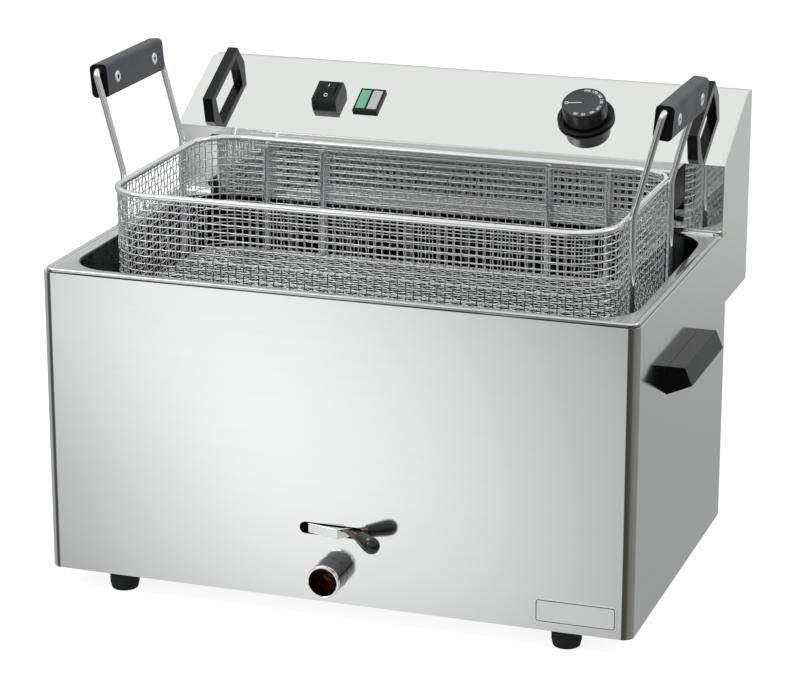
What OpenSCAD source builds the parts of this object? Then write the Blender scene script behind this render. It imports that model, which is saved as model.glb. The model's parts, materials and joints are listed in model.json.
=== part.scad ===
// Countertop donut fryer: sheet steel casing with a drawn tank and a ball
// valve drain, a lift-out control head that carries the heating elements,
// and a wire basket that is lifted by two grips. Sizes in millimetres, +Z up,
// front towards -Y, origin under the middle of the whole object.

/* [Casing] */
// Outer width of the casing
case_w = 550; // [500:1:640]
// Outer depth of the casing
case_d = 330; // [320:1:400]
// Height of the casing without its feet
case_h = 281; // [270:1:340]
// Thickness of the folded steel sheet
sheet_t = 1.2; // [0.8:0.1:2]
// Outer bend radius of the two front corners
bend_r = 10; // [6:0.5:20]
// Width of the folded flanges inside the casing
flange_w = 12; // [8:0.5:13]
// Diameter of a foot
foot_d = 27; // [22:1:40]
// Height of a foot
foot_h = 20; // [15:1:40]
// Distance of a foot's centre from the casing's side
foot_x = 64; // [30:1:120]
// Distance of a foot's centre from the casing's front or back
foot_y = 22; // [18:1:60]
// Diameter of the bolts that hold the feet
foot_bolt_d = 5; // [4:0.5:8]

/* [Tank] */
// Distance of the deck's edge from the casing's outer face
deck_inset = 2; // [1:0.5:6]
// Corner radius of the deck
deck_r = 9; // [5:0.5:20]
// Thickness of the deck and the tank
tank_t = 1.5; // [1:0.1:2.5]
// Height of the hem round the deck
hem_h = 2; // [1:0.5:5]
// Width of the hem round the deck
hem_w = 4.5; // [2:0.5:5]
// Distance from the casing's side to the tank's inner side
well_side = 16.5; // [15.5:0.5:40]
// Distance from the casing's front to the tank's inner front
well_front = 20; // [17:0.5:40]
// Distance from the casing's back to the tank's inner back
well_back = 22; // [21:0.5:30]
// Corner radius of the tank
well_r = 40; // [20:1:60]
// Room between the drain valve's stem and the tank
well_over = 6; // [4:0.5:40]

/* [Drain] */
// Height of the drain's axis above the casing's lower edge
drain_z = 28; // [24:1:40]
// Outer diameter of the drain outlet
outlet_d = 30; // [24:1:36]
// Wall of the drain outlet
outlet_wall = 2; // [1:0.5:4]
// How far the drain outlet stands out of the casing
outlet_len = 24; // [15:1:45]
// Inside diameter of the valve and its pipes
bore_d = 16; // [10:1:18]
// Diameter of the valve's ball
ball_d = 26; // [24:1:30]
// Diameter of the valve's stem
stem_d = 10; // [6:1:12]
// Distance of the stem behind the casing's front
stem_y = 22; // [21:0.5:26]
// Height of the lever's slot centre above the casing's lower edge
slot_z = 68.5; // [66:0.5:72]
// Width of the lever's slot
slot_w = 60; // [58:1:80]
// Height of the lever's slot
slot_h = 11; // [10.5:0.5:13]
// Size across the flats of the lever's hub
hub_flats = 54; // [50:1:56]
// Height of the lever's hub
hub_h = 9; // [6:0.5:9.5]
// Distance from the stem to the middle of the lever's grip end
lever_len = 65; // [60:1:90]
// Width of the lever's bar
lever_w = 8; // [5:0.5:8.5]
// Height of the lever's bar
lever_h = 7; // [5:0.5:9]
// Diameter of the lever's grip
lever_grip_d = 15; // [12:0.5:20]
// Length of the cone of the lever's grip
lever_cone = 22; // [15:1:24]

/* [Control head] */
// Distance of the head's ends from the casing's sides
head_inset = 1.5; // [0.5:0.5:10]
// How far the head reaches over the casing's back
head_over = 15; // [14:0.5:15.5]
// Gap between the casing's back and the head behind it
head_gap = 2; // [1:0.5:6]
// Height of the head's upright front above the casing
head_front_h = 67; // [60:1:90]
// Depth of the sloping panel
panel_run = 90; // [85:1:120]
// Rise of the sloping panel
panel_rise = 50; // [40:1:60]
// Depth of the head's flat top
head_top = 20; // [10:1:40]
// How far the head hangs below the casing's top
head_drop = 70; // [60:1:110]
// Distance of the hanger shelf's ends from the basket's ends
shelf_inset = 5; // [3.5:0.5:40]
// Height of the hanger shelf above the casing
shelf_z = 63; // [50:1:66]
// Height of the lip that holds the hanger shelf to the head
shelf_lip = 24; // [12:1:45]
// Height of the cheeks at the hanger shelf's ends
shelf_cheek = 38; // [20:1:44]
// Gap between the hanger shelf's front wall and the casing
shelf_gap = 5; // [4.5:0.5:20]
// Width of a bracket that carries the head
bracket_w = 30; // [20:1:60]
// Length of a bracket's ledge behind the casing
bracket_l = 50; // [30:1:70]
// Distance of a bracket's middle from the casing's side
bracket_in = 95; // [45:1:135]
// Diameter of the locating pins on the brackets
pin_d = 8; // [5:0.5:12]

/* [Panel fittings] */
// Place of the switch on the panel, from the middle
switch_x = -132; // [-180:1:-115]
// Width of the switch
switch_w = 25; // [22:0.5:30]
// Length of the switch up the panel
switch_l = 32; // [28:0.5:40]
// Height of the switch's cheeks
switch_h = 11; // [10:0.5:12]
// Width of the rocker
rocker_w = 15.6; // [10:0.2:17]
// Length of the rocker
rocker_l = 23.2; // [18:0.2:24]
// Angle of the rocker from its middle position
rocker_tilt = 7; // [4:0.5:9]
// Place of the lamp on the panel, from the middle
lamp_x = -90.3; // [-105:0.1:-60]
// Width of the lamp's frame
lamp_w = 25.5; // [22:0.5:34]
// Length of the lamp's frame up the panel
lamp_l = 32.5; // [28:0.5:40]
// Height of the lamp's frame
lamp_h = 3; // [2:0.5:5]
// Place of the thermostat knob on the panel, from the middle
knob_x = 128; // [90:1:180]
// Diameter of the knob's cap
knob_d = 43; // [30:1:60]
// Height of the knob
knob_h = 19; // [16:0.5:30]
// Width of the knob's skirt beyond its cap
knob_skirt = 6; // [1:0.5:8]
// Diameter of the thermostat's shaft
shaft_d = 6; // [4:0.5:8]
// Distance of a panel handle's middle from the head's end
panel_handle_in = 31.5; // [18:0.5:55]
// Width of a panel handle
panel_handle_w = 10; // [8:0.5:16]
// Length of a panel handle over its feet
panel_handle_l = 92; // [80:1:96]
// Length of a panel handle's grip
panel_handle_grip = 78; // [60:1:84]
// Height of a panel handle above the panel
panel_handle_h = 24; // [20:1:40]
// Thickness of a panel handle's bar
panel_handle_bar = 7; // [6:0.5:9]

/* [Heating] */
// Diameter of the heating tubes
tube_d = 8.5; // [6:0.5:10]
// Distance between neighbouring hairpins
hairpin_pitch = 120; // [90:1:122]
// Half the width of a hairpin
hairpin_half = 30; // [20:1:40]
// Height of the hairpins above the tank's floor
run_h = 24.5; // [20:0.5:40]
// Distance of the hairpins' bend from the tank's front
run_front = 25; // [15:1:60]
// Distance of the upright legs from the tank's back
leg_gap = 8; // [6:0.5:9]
// Bend radius of the heating tubes
tube_bend = 12; // [10:0.5:13]
// Height of the tubes' tails above the casing
tail_h = 12; // [10:0.5:20]

/* [Basket] */
// Distance of the basket's ends from the tank's inner sides
basket_side = 22; // [20:0.5:43]
// Distance of the basket's back from the tank's inner back
basket_back = 16; // [14:0.5:40]
// Distance of the basket's front from the casing's front
basket_front = 46; // [40:0.5:46]
// Outer corner radius of the basket's rim
basket_r = 43; // [30:1:60]
// Height of the rim's middle above the casing
rim_h = 64; // [60:1:90]
// Height of the basket's walls below the rim
basket_h = 110; // [80:1:120]
// Diameter of the rim's wire
rim_d = 6; // [4:0.5:8]
// Thickness of the wire net
net_t = 2.4; // [1.5:0.1:4]
// Width of a bar of the net
net_bar = 2.6; // [1.5:0.1:5]
// Gaps along the front net
net_long = 20; // [10:1:24]
// Gaps along an end net
net_short = 8; // [4:1:12]
// Gaps up the nets
net_high = 5; // [3:1:8]
// Gaps along the floor net
floor_long = 12; // [8:1:18]
// Gaps across the floor net
floor_short = 7; // [4:1:10]
// Diameter of the wire below the floor net and of the stiffening rods
base_wire_d = 5; // [3:0.5:6]
// Diameter of the handles' rods
rod_d = 6; // [4:0.5:6.5]
// Distance between the two rods of a handle
rod_span = 138; // [110:1:150]
// Lean of the handles from upright
lean = 15; // [5:1:22]
// Distance from the rim up to the middle of a grip
grip_reach = 90; // [80:1:120]
// Bend of the handles' rods at the ends of a grip
rod_bend = 5; // [4:0.5:12]
// Thickness of a grip
grip_t = 17; // [13:0.5:22]
// Height of a grip
grip_h = 31; // [26:1:40]
// Radius of a grip's long edges
grip_round = 4.5; // [2:0.5:6]
// Lean of the grips from upright
grip_lean = 5; // [0:1:15]
// How far the handles stand behind the basket's middle
handle_back = 8; // [0:1:10]

/* [Side handles] */
// Length of a side handle
side_len = 120; // [90:1:160]
// Depth of a side handle's top
side_top = 15.5; // [12:0.5:25]
// Widest reach of a side handle from the casing
side_out = 22.5; // [18:0.5:35]
// How far its widest edge lies below its top
side_edge = 16; // [10:0.5:25]
// Height of a side handle's ends
side_h = 26; // [22:0.5:45]
// Distance of a side handle's top below the casing's top
side_z = 63.5; // [30:0.5:120]
// Wall of a side handle
side_wall = 3; // [2:0.5:4]
// Thickness of a side handle's ends
side_end = 8; // [7:0.5:12]

/* [Plate] */
// Width of the blank plate on the front
plate_w = 73; // [40:1:100]
// Height of the blank plate
plate_h = 22; // [12:1:40]
// Distance of the blank plate from the casing's right side
plate_x = 14; // [12:0.5:60]
// Distance of the blank plate from the casing's lower edge
plate_z = 7.5; // [4:0.5:40]
// Thickness of the blank plate
plate_t = 0.8; // [0.5:0.1:2]

/* [Hidden] */
$fn = 64;
// Gap between flat faces of pieces that move past each other
clear = 0.3;
// Radial clearance of shafts and screws in their holes
fit = 0.05;
screw_fit = 0.2;
// Small screws: shank, head and head height
screw_d = 4;
screw_head_d = 8;
screw_head_h = 2;
big = 1000;
// Gap between the deck's back edge and the head
deck_gap = 2;

case_bottom = foot_h;
case_top = foot_h + case_h;
half_w = case_w / 2;
inner_w = case_w - 2 * sheet_t;
head_front = case_d - head_over;
deck_back = head_front - deck_gap;
deck_top = case_top + tank_t;
well_w = case_w - 2 * well_side;
well_back_y = case_d - well_back;
well_d = well_back_y - well_front;
well_mid = well_front + well_d / 2;

valve_z = case_bottom + drain_z;
slot_mid = case_bottom + slot_z;
ball_r = ball_d / 2;
valve_half = ball_r + 6;
valve_r = ball_r + 5;
seat_r = bore_d / 2 + 3.5;
seat_far = ball_r + 1;
stem_r = stem_d / 2;
stem_foot = valve_z + ball_r - 3;
gland_h = 4;
gland_z = slot_mid - hub_h / 2 - 1 - gland_h;
nut_h = 4;
hub_top = slot_mid + hub_h / 2;
stem_top = hub_top + nut_h + 1;
floor_z = stem_top + well_over + tank_t;
well_depth = deck_top - floor_z;
elbow_r = 20;
pipe_wall = 3;
elbow_y = stem_y + valve_half + 14;
spud_y = elbow_y + elbow_r;
spud_z = floor_z - tank_t - 14;
lever_angle = 45;
hub_r = hub_flats / 2 / cos(30);

head_w = case_w - 2 * head_inset;
head_hw = head_w / 2;
head_in = head_hw - sheet_t;
head_low = case_top - head_drop;
head_step = case_top + clear;
panel_z = case_top + head_front_h;
head_top_z = panel_z + panel_rise;
head_back = head_front + panel_run + head_top;
head_wall = case_d + head_gap;
slope = atan2(panel_rise, panel_run);
panel_l = sqrt(panel_run * panel_run + panel_rise * panel_rise);
panel_mid = panel_l / 2;
panel_edge = sheet_t / cos(slope);
panel_handle_x = head_hw - panel_handle_in;
bracket_x = half_w - bracket_in;
panel_bend = sheet_t * tan(slope / 2);

rim_z = case_top + rim_h;
rim_r = rim_d / 2;
basket_w = well_w - 2 * basket_side;
basket_d = well_back_y - basket_back - basket_front;
rim_w = basket_w - rim_d;
rim_depth = basket_d - rim_d;
rim_bend = basket_r - rim_r;
basket_mid = basket_front + basket_d / 2;
wall_top = rim_z - rim_r - fit;
wall_low = rim_z - basket_h + net_t;
wall_h = wall_top - wall_low;
base_r = base_wire_d / 2;
net_seam = 0.4;
rod_r = rod_d / 2;
rod_x = basket_w / 2 + rod_r + clear;
grip_l = rod_span - 2 * rod_bend;
// The rod runs through a grip this far below its top
bore_in = 6;
grip_top = grip_h / 2 - bore_in;
rivet_d = 5;
rivet_head_d = 11;
rivet_head_h = 1.2;
rivet_in = 22;
rivet_span = grip_l - 2 * rivet_in;
lean_bend = 30;
// The rods' straight lengths meet their bends at this seam
rod_seam = 0.02;
grip_up = grip_reach - lean_bend * sin(lean);
stiff_x = [-170, -112, 112, 170];
shelf_w = basket_w - 2 * shelf_inset;
shelf_front = basket_front + basket_d + clear * 2;
shelf_top = case_top + shelf_z;

tube_r = tube_d / 2;
run_z = floor_z + run_h;
leg_y = well_back_y - leg_gap;
tail_z = case_top + tail_h;
turn_y = well_front + run_front + hairpin_half;
hairpins = 4;
tail_in = head_front + 16;
bulb_r = 4;
capillary_r = 1.5;
capillary_z = tail_z + 18;
bulb_l = 100;
bulb_bend = 8;

// Where the whole object's middle lies between its front and its back
front_reach = lever_len * cos(lever_angle) + lever_grip_d / 2 - stem_y;
rear_reach = head_back + screw_head_h;
front_y = (front_reach - rear_reach) / 2;

switch_deep = 25;
pin_h = 10;
pin_tip = 4;
cut_out_w = 30;
cut_out_h = 24;
reset_x = -60;
reset_back = 50;
reset_y = head_wall + reset_back;
reset_d = 6;
reset_travel = 3;
reset_out = 4;
gland_x = 120;
gland_back = 60;
gland_y = head_wall + gland_back;
cable_d = 10;
contactor_x = 40;
contactor_w = 45;
contactor_d = 60;
contactor_h = 70;
terminal_x = 200;
terminal_w = 70;
terminal_d = 30;
terminal_h = 24;
fittings_y = head_wall + contactor_d * 0.8;
side_screw_z = case_top - side_z - side_h / 2;
side_mid = case_d / 2;
side_screw_span = side_len - side_end;

// Moves the front of the casing from y = 0 to its place about the origin
module place() {
    translate([0, front_y, 0])
        children();
}

module mirrored(axis) {
    children();
    mirror(axis)
        children();
}

// Outline drawn in y and z, stretched along x from x0 to x1
module across(x0, x1) {
    translate([x0, 0, 0])
        rotate([90, 0, 90])
            linear_extrude(x1 - x0)
                children();
}

// Puts a piece on the sloping panel: x along it, y up it, z out of it
module on_panel(x, s) {
    translate([x, head_front + s * cos(slope), panel_z + s * sin(slope)])
        rotate([slope, 0, 0])
            children();
}

module box(size, at) {
    translate([at[0] - size[0] / 2, at[1] - size[1] / 2, at[2]])
        cube(size);
}

// Cylinders along x, y and z that start at a point
module rod_along_x(r, len, at) {
    translate(at)
        rotate([0, 90, 0])
            cylinder(r = r, h = len);
}

module rod_along_y(r, len, at) {
    translate(at)
        rotate([-90, 0, 0])
            cylinder(r = r, h = len);
}

module rod_along_z(r, len, at) {
    translate(at)
        cylinder(r = r, h = len);
}

module rounded(w, d, r) {
    square([w - 2 * r, d], center = true);
    square([w, d - 2 * r], center = true);
    for (sx = [-1, 1], sy = [-1, 1])
        translate([sx * (w / 2 - r), sy * (d / 2 - r)])
            circle(r = r);
}

// Casing outline with two round front corners, front edge on y = in
module front_rounded(w, y0, y1, r) {
    translate([-w / 2, y0 + r])
        square([w, y1 - y0 - r]);
    translate([r - w / 2, y0])
        square([w - 2 * r, y1 - y0]);
    for (s = [-1, 1])
        translate([s * (w / 2 - r), y0 + r])
            circle(r = r);
}

// A quarter bend of a round bar in the x and y plane, from +x to +y
module quarter(bend, r) {
    rotate_extrude(angle = 90)
        translate([bend, 0])
            circle(r = r);
}

// A closed wire round a rounded rectangle
module wire_loop(w, d, bend, r) {
    for (s = [-1, 1]) {
        rod_along_x(r, w - 2 * bend, [bend - w / 2, s * d / 2, 0]);
        rod_along_y(r, d - 2 * bend, [s * w / 2, bend - d / 2, 0]);
    }
    for (i = [0:3]) {
        sx = (i == 0 || i == 3) ? 1 : -1;
        sy = i < 2 ? 1 : -1;
        translate([sx * (w / 2 - bend), sy * (d / 2 - bend), 0])
            rotate([0, 0, 90 * i])
                quarter(bend, r);
    }
}

// A flat net of nx by ny gaps with bars between them
module net(w, h, nx, ny) {
    gap_x = (w - (nx + 1) * net_bar) / nx;
    gap_y = (h - (ny + 1) * net_bar) / ny;
    linear_extrude(net_t)
        difference() {
            square([w, h]);
            for (i = [0:nx - 1], j = [0:ny - 1])
                translate([net_bar + i * (gap_x + net_bar), net_bar + j * (gap_y + net_bar)])
                    square([gap_x, gap_y]);
        }
}

// A screw whose head lies on z = 0 and whose shank runs down to -len
module screw(len) {
    cylinder(d = screw_head_d, h = screw_head_h);
    translate([0, 0, -len])
        cylinder(d = screw_d, h = len + fit);
}

module screw_hole(len) {
    translate([0, 0, -len])
        cylinder(d = screw_d + 2 * screw_fit, h = 2 * len);
}

// Places of repeated fasteners
module at_feet() {
    for (s = [-1, 1], y = [foot_y, case_d - foot_y])
        translate([s * (half_w - foot_x), y, 0])
            children();
}

module at_rear_screws() {
    for (s = [-1, 1], k = [1:3])
        translate([
            s * (half_w - sheet_t - flange_w / 2), case_d,
            case_bottom + k * (case_h - head_drop) / 4
        ])
            rotate([-90, 0, 0])
                children();
}

module at_bracket_screws() {
    for (s = [-1, 1], dx = [-1, 1])
        translate([
            s * bracket_x + dx * bracket_w / 4, case_d + sheet_t * 2,
            head_low - bracket_w / 2
        ])
            rotate([-90, 0, 0])
                children();
}

module at_pins() {
    for (s = [-1, 1])
        translate([s * bracket_x, case_d + bracket_l * 0.6, head_low - clear])
            children();
}

module at_back_screws() {
    for (s = [-1, 1], k = [1:3])
        translate([
            s * (head_in - flange_w / 2), head_back,
            head_low + k * (head_top_z - head_low) / 4
        ])
            rotate([-90, 0, 0])
                children();
}

module at_side_screws() {
    for (d = [-1, 1])
        translate([half_w, side_mid + d * side_screw_span / 2, side_screw_z])
            rotate([0, 90, 0])
                children();
}

module at_panel_screws() {
    for (s = [-1, 1], d = [-1, 1])
        on_panel(s * panel_handle_x, panel_mid + d * (panel_handle_l - 2 * panel_handle_bar) / 2)
            children();
}

module at_tails() {
    for (i = [0:hairpins - 1], s = [-1, 1])
        translate([(i - (hairpins - 1) / 2) * hairpin_pitch + s * hairpin_half, 0, 0])
            children();
}

// Front and sides of the casing, folded from one sheet
module casing_wrap() {
    low = case_bottom + sheet_t;
    color("Silver") place() difference() {
        union() {
            translate([0, 0, low])
                linear_extrude(case_top - low)
                    difference() {
                        front_rounded(case_w, 0, case_d, bend_r);
                        front_rounded(inner_w, sheet_t, case_d + big, bend_r - sheet_t);
                    }
            for (z = [low, case_top - sheet_t])
                translate([0, 0, z])
                    linear_extrude(sheet_t)
                        wrap_flange();
            mirrored([1, 0, 0])
                translate([half_w - sheet_t - flange_w, case_d - 2 * sheet_t, low])
                    cube([flange_w + sheet_t / 2, sheet_t, case_h - 3 * sheet_t]);
        }
        lever_slot();
        rod_along_y(outlet_d / 2 - 1 + screw_fit, 4 * sheet_t, [0, -sheet_t, valve_z]);
        mirrored([1, 0, 0])
            at_side_screws()
                screw_hole(3 * sheet_t);
        at_rear_screws()
            screw_hole(4 * sheet_t);
    }
}

module wrap_flange() {
    difference() {
        front_rounded(case_w - sheet_t, sheet_t / 2, deck_back, bend_r - sheet_t / 2);
        translate([flange_w + sheet_t - half_w, sheet_t + flange_w])
            square([inner_w - 2 * flange_w, case_d]);
    }
}

module lever_slot() {
    end = slot_h / 2;
    translate([end - slot_w / 2, -sheet_t, slot_mid - end])
        cube([slot_w - slot_h, 4 * sheet_t, slot_h]);
    for (s = [-1, 1])
        rod_along_y(end, 4 * sheet_t, [s * (slot_w / 2 - end), -sheet_t, slot_mid]);
}

// Back of the casing with a ledge at its top on which the head rests
module rear_panel() {
    w = inner_w - 2 * clear;
    low = case_bottom + sheet_t;
    color("Gainsboro") place() difference() {
        union() {
            translate([-w / 2, case_d - sheet_t, low])
                cube([w, sheet_t, case_top - low]);
            translate([-w / 2, head_front - clear, case_top - sheet_t])
                cube([w, case_d - head_front, sheet_t]);
        }
        at_rear_screws()
            screw_hole(4 * sheet_t);
        at_bracket_screws()
            screw_hole(8 * sheet_t);
    }
}

module rear_screws() {
    color("DimGray") place() {
        at_rear_screws()
            screw(4 * sheet_t);
        at_bracket_screws()
            screw(5 * sheet_t);
    }
}

module base_plate() {
    color("Gray") place() difference() {
        translate([0, 0, case_bottom])
            linear_extrude(sheet_t)
                front_rounded(case_w - 2 * clear, clear, case_d - clear, bend_r - clear);
        at_feet()
            cylinder(d = foot_bolt_d + 2 * screw_fit, h = case_top);
    }
}

module feet() {
    recess = foot_h * 0.45;
    color("DimGray") place()
        at_feet()
            difference() {
                union() {
                    cylinder(d1 = foot_d - 3, d2 = foot_d, h = foot_h * 0.3);
                    translate([0, 0, foot_h * 0.3])
                        cylinder(d = foot_d, h = foot_h * 0.7);
                }
                translate([0, 0, -1])
                    cylinder(d = foot_bolt_d * 2 + 3, h = recess + 1);
                cylinder(d = foot_bolt_d + 2 * screw_fit, h = foot_h + 1);
            }
}

module foot_bolts() {
    recess = foot_h * 0.45;
    color("DarkGray") place()
        at_feet() {
            translate([0, 0, recess - foot_bolt_d * 0.7])
                cylinder(d = foot_bolt_d * 2, h = foot_bolt_d * 0.7);
            translate([0, 0, recess - fit])
                cylinder(d = foot_bolt_d, h = foot_h - recess + sheet_t + foot_bolt_d + fit);
            translate([0, 0, case_bottom + sheet_t])
                cylinder(d = foot_bolt_d * 2, h = foot_bolt_d * 0.8, $fn = 6);
        }
}

// Drawn tank with its deck and the hem round it
module tank() {
    deck_d = deck_back - deck_inset;
    deck_mid = deck_inset + deck_d / 2;
    deck_w = case_w - 2 * deck_inset;
    color("LightGray") place() difference() {
        union() {
            translate([0, deck_mid, case_top])
                linear_extrude(tank_t)
                    rounded(deck_w, deck_d, deck_r);
            translate([0, deck_mid, case_top + tank_t / 2])
                linear_extrude(tank_t / 2 + hem_h)
                    difference() {
                        rounded(deck_w, deck_d, deck_r);
                        rounded(deck_w - 2 * hem_w, deck_d - 2 * hem_w, deck_r - hem_w);
                    }
            translate([0, well_mid, floor_z - tank_t])
                linear_extrude(well_depth)
                    rounded(well_w + 2 * tank_t, well_d + 2 * tank_t, well_r + tank_t);
        }
        translate([0, well_mid, floor_z])
            linear_extrude(well_depth + big)
                rounded(well_w, well_d, well_r);
        rod_along_z(bore_d / 2, 4 * tank_t, [0, spud_y, floor_z - 3 * tank_t]);
    }
}

// Carrying handle: a hood that is open below for the fingers
module side_handle() {
    top = case_top - side_z;
    low = top - side_h;
    w = side_wall;
    color("Black") difference() {
        translate([0, side_mid + side_len / 2, 0])
            rotate([90, 0, 0])
                linear_extrude(side_len)
                    polygon([
                        [half_w, low], [half_w, top], [half_w + side_top, top],
                        [half_w + side_out, top - side_edge]
                    ]);
        translate([0, side_mid + side_len / 2 - side_end, 0])
            rotate([90, 0, 0])
                linear_extrude(side_len - 2 * side_end)
                    polygon([
                        [half_w + w, low - side_h], [half_w + w, top - w],
                        [half_w + side_top - w * 0.7, top - w],
                        [half_w + side_out - w * 1.1, top - side_edge],
                        [half_w + side_out - w * 1.1, low - side_h]
                    ]);
        at_side_screws()
            screw_hole(side_top * 0.6);
    }
}

module side_handle_right() {
    place()
        side_handle();
}

module side_handle_left() {
    place()
        mirror([1, 0, 0])
            side_handle();
}

module side_handle_screws() {
    color("DarkGray") place()
        mirrored([1, 0, 0])
            at_side_screws()
                translate([0, 0, -sheet_t])
                    mirror([0, 0, 1])
                        screw(sheet_t + side_top * 0.5);
}

module blank_plate() {
    color("WhiteSmoke") place()
        translate([half_w - plate_x - plate_w, -plate_t, case_bottom + plate_z])
            cube([plate_w, plate_t, plate_h]);
}

module drain_spud() {
    color("LightGray") place() difference() {
        rod_along_z(bore_d / 2 + 2 * pipe_wall, floor_z - tank_t - spud_z, [0, spud_y, spud_z]);
        rod_along_z(bore_d / 2, big, [0, spud_y, spud_z - 1]);
    }
}

// Pipe from the tank's floor, forward to the valve
module drain_elbow() {
    color("LightGray") place() difference() {
        elbow_pipe(bore_d / 2 + pipe_wall, 0);
        elbow_pipe(bore_d / 2, 1);
    }
}

module elbow_pipe(r, extra) {
    valve_end = stem_y + valve_half;
    bend_z = valve_z + elbow_r;
    rod_along_y(r, elbow_y - valve_end + extra, [0, valve_end - extra, valve_z]);
    rod_along_z(r, spud_z - bend_z + extra, [0, spud_y, bend_z]);
    translate([0, elbow_y, bend_z])
        rotate([-90, 0, 90])
            quarter(elbow_r, r);
}

module valve_body() {
    color("Goldenrod") place() difference() {
        union() {
            rod_along_y(valve_r, 2 * valve_half, [0, stem_y - valve_half, valve_z]);
            rod_along_z(stem_r + 5, gland_z - valve_z, [0, stem_y, valve_z]);
        }
        rod_along_y(bore_d / 2, big, [0, -big / 2, valve_z]);
        translate([0, stem_y, valve_z])
            sphere(r = ball_r + 0.4);
        rod_along_y(seat_r + fit, 2 * seat_far, [0, stem_y - seat_far, valve_z]);
        rod_along_z(stem_r + fit, big, [0, stem_y, valve_z]);
    }
}

module valve_seats() {
    color("White") place()
        for (s = [-1, 1])
            difference() {
                rod_along_y(
                    seat_r, seat_far - seat_r / 2,
                    [0, stem_y + s * (seat_far + seat_r / 2) / 2 - (seat_far - seat_r / 2) / 2, valve_z]
                );
                rod_along_y(bore_d / 2, big, [0, -big / 2, valve_z]);
                translate([0, stem_y, valve_z])
                    sphere(r = ball_r + fit);
                rod_along_z(stem_r + 2 * fit, big, [0, stem_y, valve_z]);
            }
}

module stem_gland() {
    color("Goldenrod") place() difference() {
        rod_along_z(stem_r + 5, gland_h, [0, stem_y, gland_z], $fn = 6);
        rod_along_z(stem_r + fit, big, [0, stem_y, valve_z]);
    }
}

// Tube that stands out of the casing's front
module drain_outlet() {
    back = stem_y - valve_half;
    color("Silver") place() difference() {
        union() {
            rod_along_y(outlet_d / 2, outlet_len, [0, -outlet_len, valve_z]);
            rod_along_y(outlet_d / 2 - 1, outlet_len + back, [0, -outlet_len, valve_z]);
        }
        rod_along_y(outlet_d / 2 - outlet_wall, outlet_len, [0, -outlet_len - 1, valve_z]);
        rod_along_y(bore_d / 2, big, [0, -big / 2, valve_z]);
    }
}

// Ledges behind the casing on which the head stands
module head_brackets() {
    top = head_low - clear;
    t = 2 * sheet_t;
    color("Silver") place() difference() {
        for (s = [-1, 1]) {
            translate([s * bracket_x - bracket_w / 2, case_d, top - t])
                cube([bracket_w, bracket_l, t]);
            translate([s * bracket_x - bracket_w / 2, case_d, top - bracket_w])
                cube([bracket_w, t, bracket_w]);
        }
        at_bracket_screws()
            screw_hole(8 * sheet_t);
        at_pins()
            translate([0, 0, -2 * t])
                cylinder(d = pin_d - 2 + 2 * fit, h = 4 * t);
    }
}

module locating_pins() {
    color("DarkGray") place()
        at_pins() {
            translate([0, 0, -2 * sheet_t])
                cylinder(d = pin_d - 2, h = 2 * sheet_t + 1);
            cylinder(d = pin_d, h = pin_h);
            translate([0, 0, pin_h])
                cylinder(d1 = pin_d, d2 = pin_d / 2, h = pin_tip);
        }
}

// Pieces that turn with the drain lever
module at_stem() {
    translate([0, stem_y, 0])
        children();
}

module lever_hub() {
    color("WhiteSmoke") place() at_stem() difference() {
        translate([0, 0, slot_mid - hub_h / 2])
            rotate([0, 0, -lever_angle - 30])
                cylinder(r = hub_r, h = hub_h, $fn = 6);
        rod_along_z(stem_r + fit, big, [0, 0, valve_z]);
    }
}

module drain_lever() {
    color("SaddleBrown") place() at_stem()
        rotate([0, 0, -90 + lever_angle])
            translate([hub_flats / 2, -lever_w / 2, slot_mid - lever_h / 2])
                cube([lever_len - hub_flats / 2 - lever_cone / 2, lever_w, lever_h]);
}

module lever_grip() {
    big_r = lever_grip_d / 2;
    start = lever_len - lever_cone;
    color("Black") place() at_stem()
        rotate([0, 0, -90 + lever_angle])
            difference() {
                union() {
                    translate([lever_len, 0, slot_mid])
                        sphere(r = big_r);
                    translate([start, 0, slot_mid])
                        rotate([0, 90, 0])
                            cylinder(r1 = big_r * 0.75, r2 = big_r, h = lever_cone);
                }
                translate([start - 1, -lever_w / 2, slot_mid - lever_h / 2])
                    cube([lever_cone / 2 + 1, lever_w, lever_h]);
            }
}

module valve_stem() {
    color("Silver") place() at_stem()
        rod_along_z(stem_r, stem_top - stem_foot, [0, 0, stem_foot]);
}

// Ball whose bore lies across the pipe while the drain is shut
module valve_ball() {
    color("Gainsboro") place() at_stem() difference() {
        translate([0, 0, valve_z])
            sphere(r = ball_r);
        rod_along_x(bore_d / 2, big, [-big / 2, 0, valve_z]);
        translate([-ball_r, -ball_r, stem_foot])
            cube([ball_d, ball_d, ball_r]);
    }
}

module lever_nut() {
    color("Silver") place() at_stem() difference() {
        rod_along_z(stem_r + 4, nut_h, [0, 0, hub_top], $fn = 6);
        rod_along_z(stem_r + fit, big, [0, 0, valve_z]);
    }
}

// Sloping panel and flat top of the head
module control_panel() {
    color("WhiteSmoke") place() difference() {
        across(-head_in, head_in)
            polygon([
                [head_front, panel_z], [head_front + panel_run, head_top_z],
                [head_back, head_top_z], [head_back, head_top_z - sheet_t],
                [head_front + panel_run + panel_bend, head_top_z - sheet_t],
                [head_front, panel_z - panel_edge]
            ]);
        at_panel_screws()
            screw_hole(3 * sheet_t);
        on_panel(switch_x, panel_mid)
            box([switch_w - 3, switch_l - 3, 8 * sheet_t], [0, 0, -4 * sheet_t]);
        on_panel(lamp_x, panel_mid)
            box([lamp_w - 3, lamp_l - 3, 8 * sheet_t], [0, 0, -4 * sheet_t]);
        on_panel(knob_x, panel_mid)
            translate([0, 0, -4 * sheet_t])
                cylinder(d = shaft_d + 5, h = 8 * sheet_t);
    }
}

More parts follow.
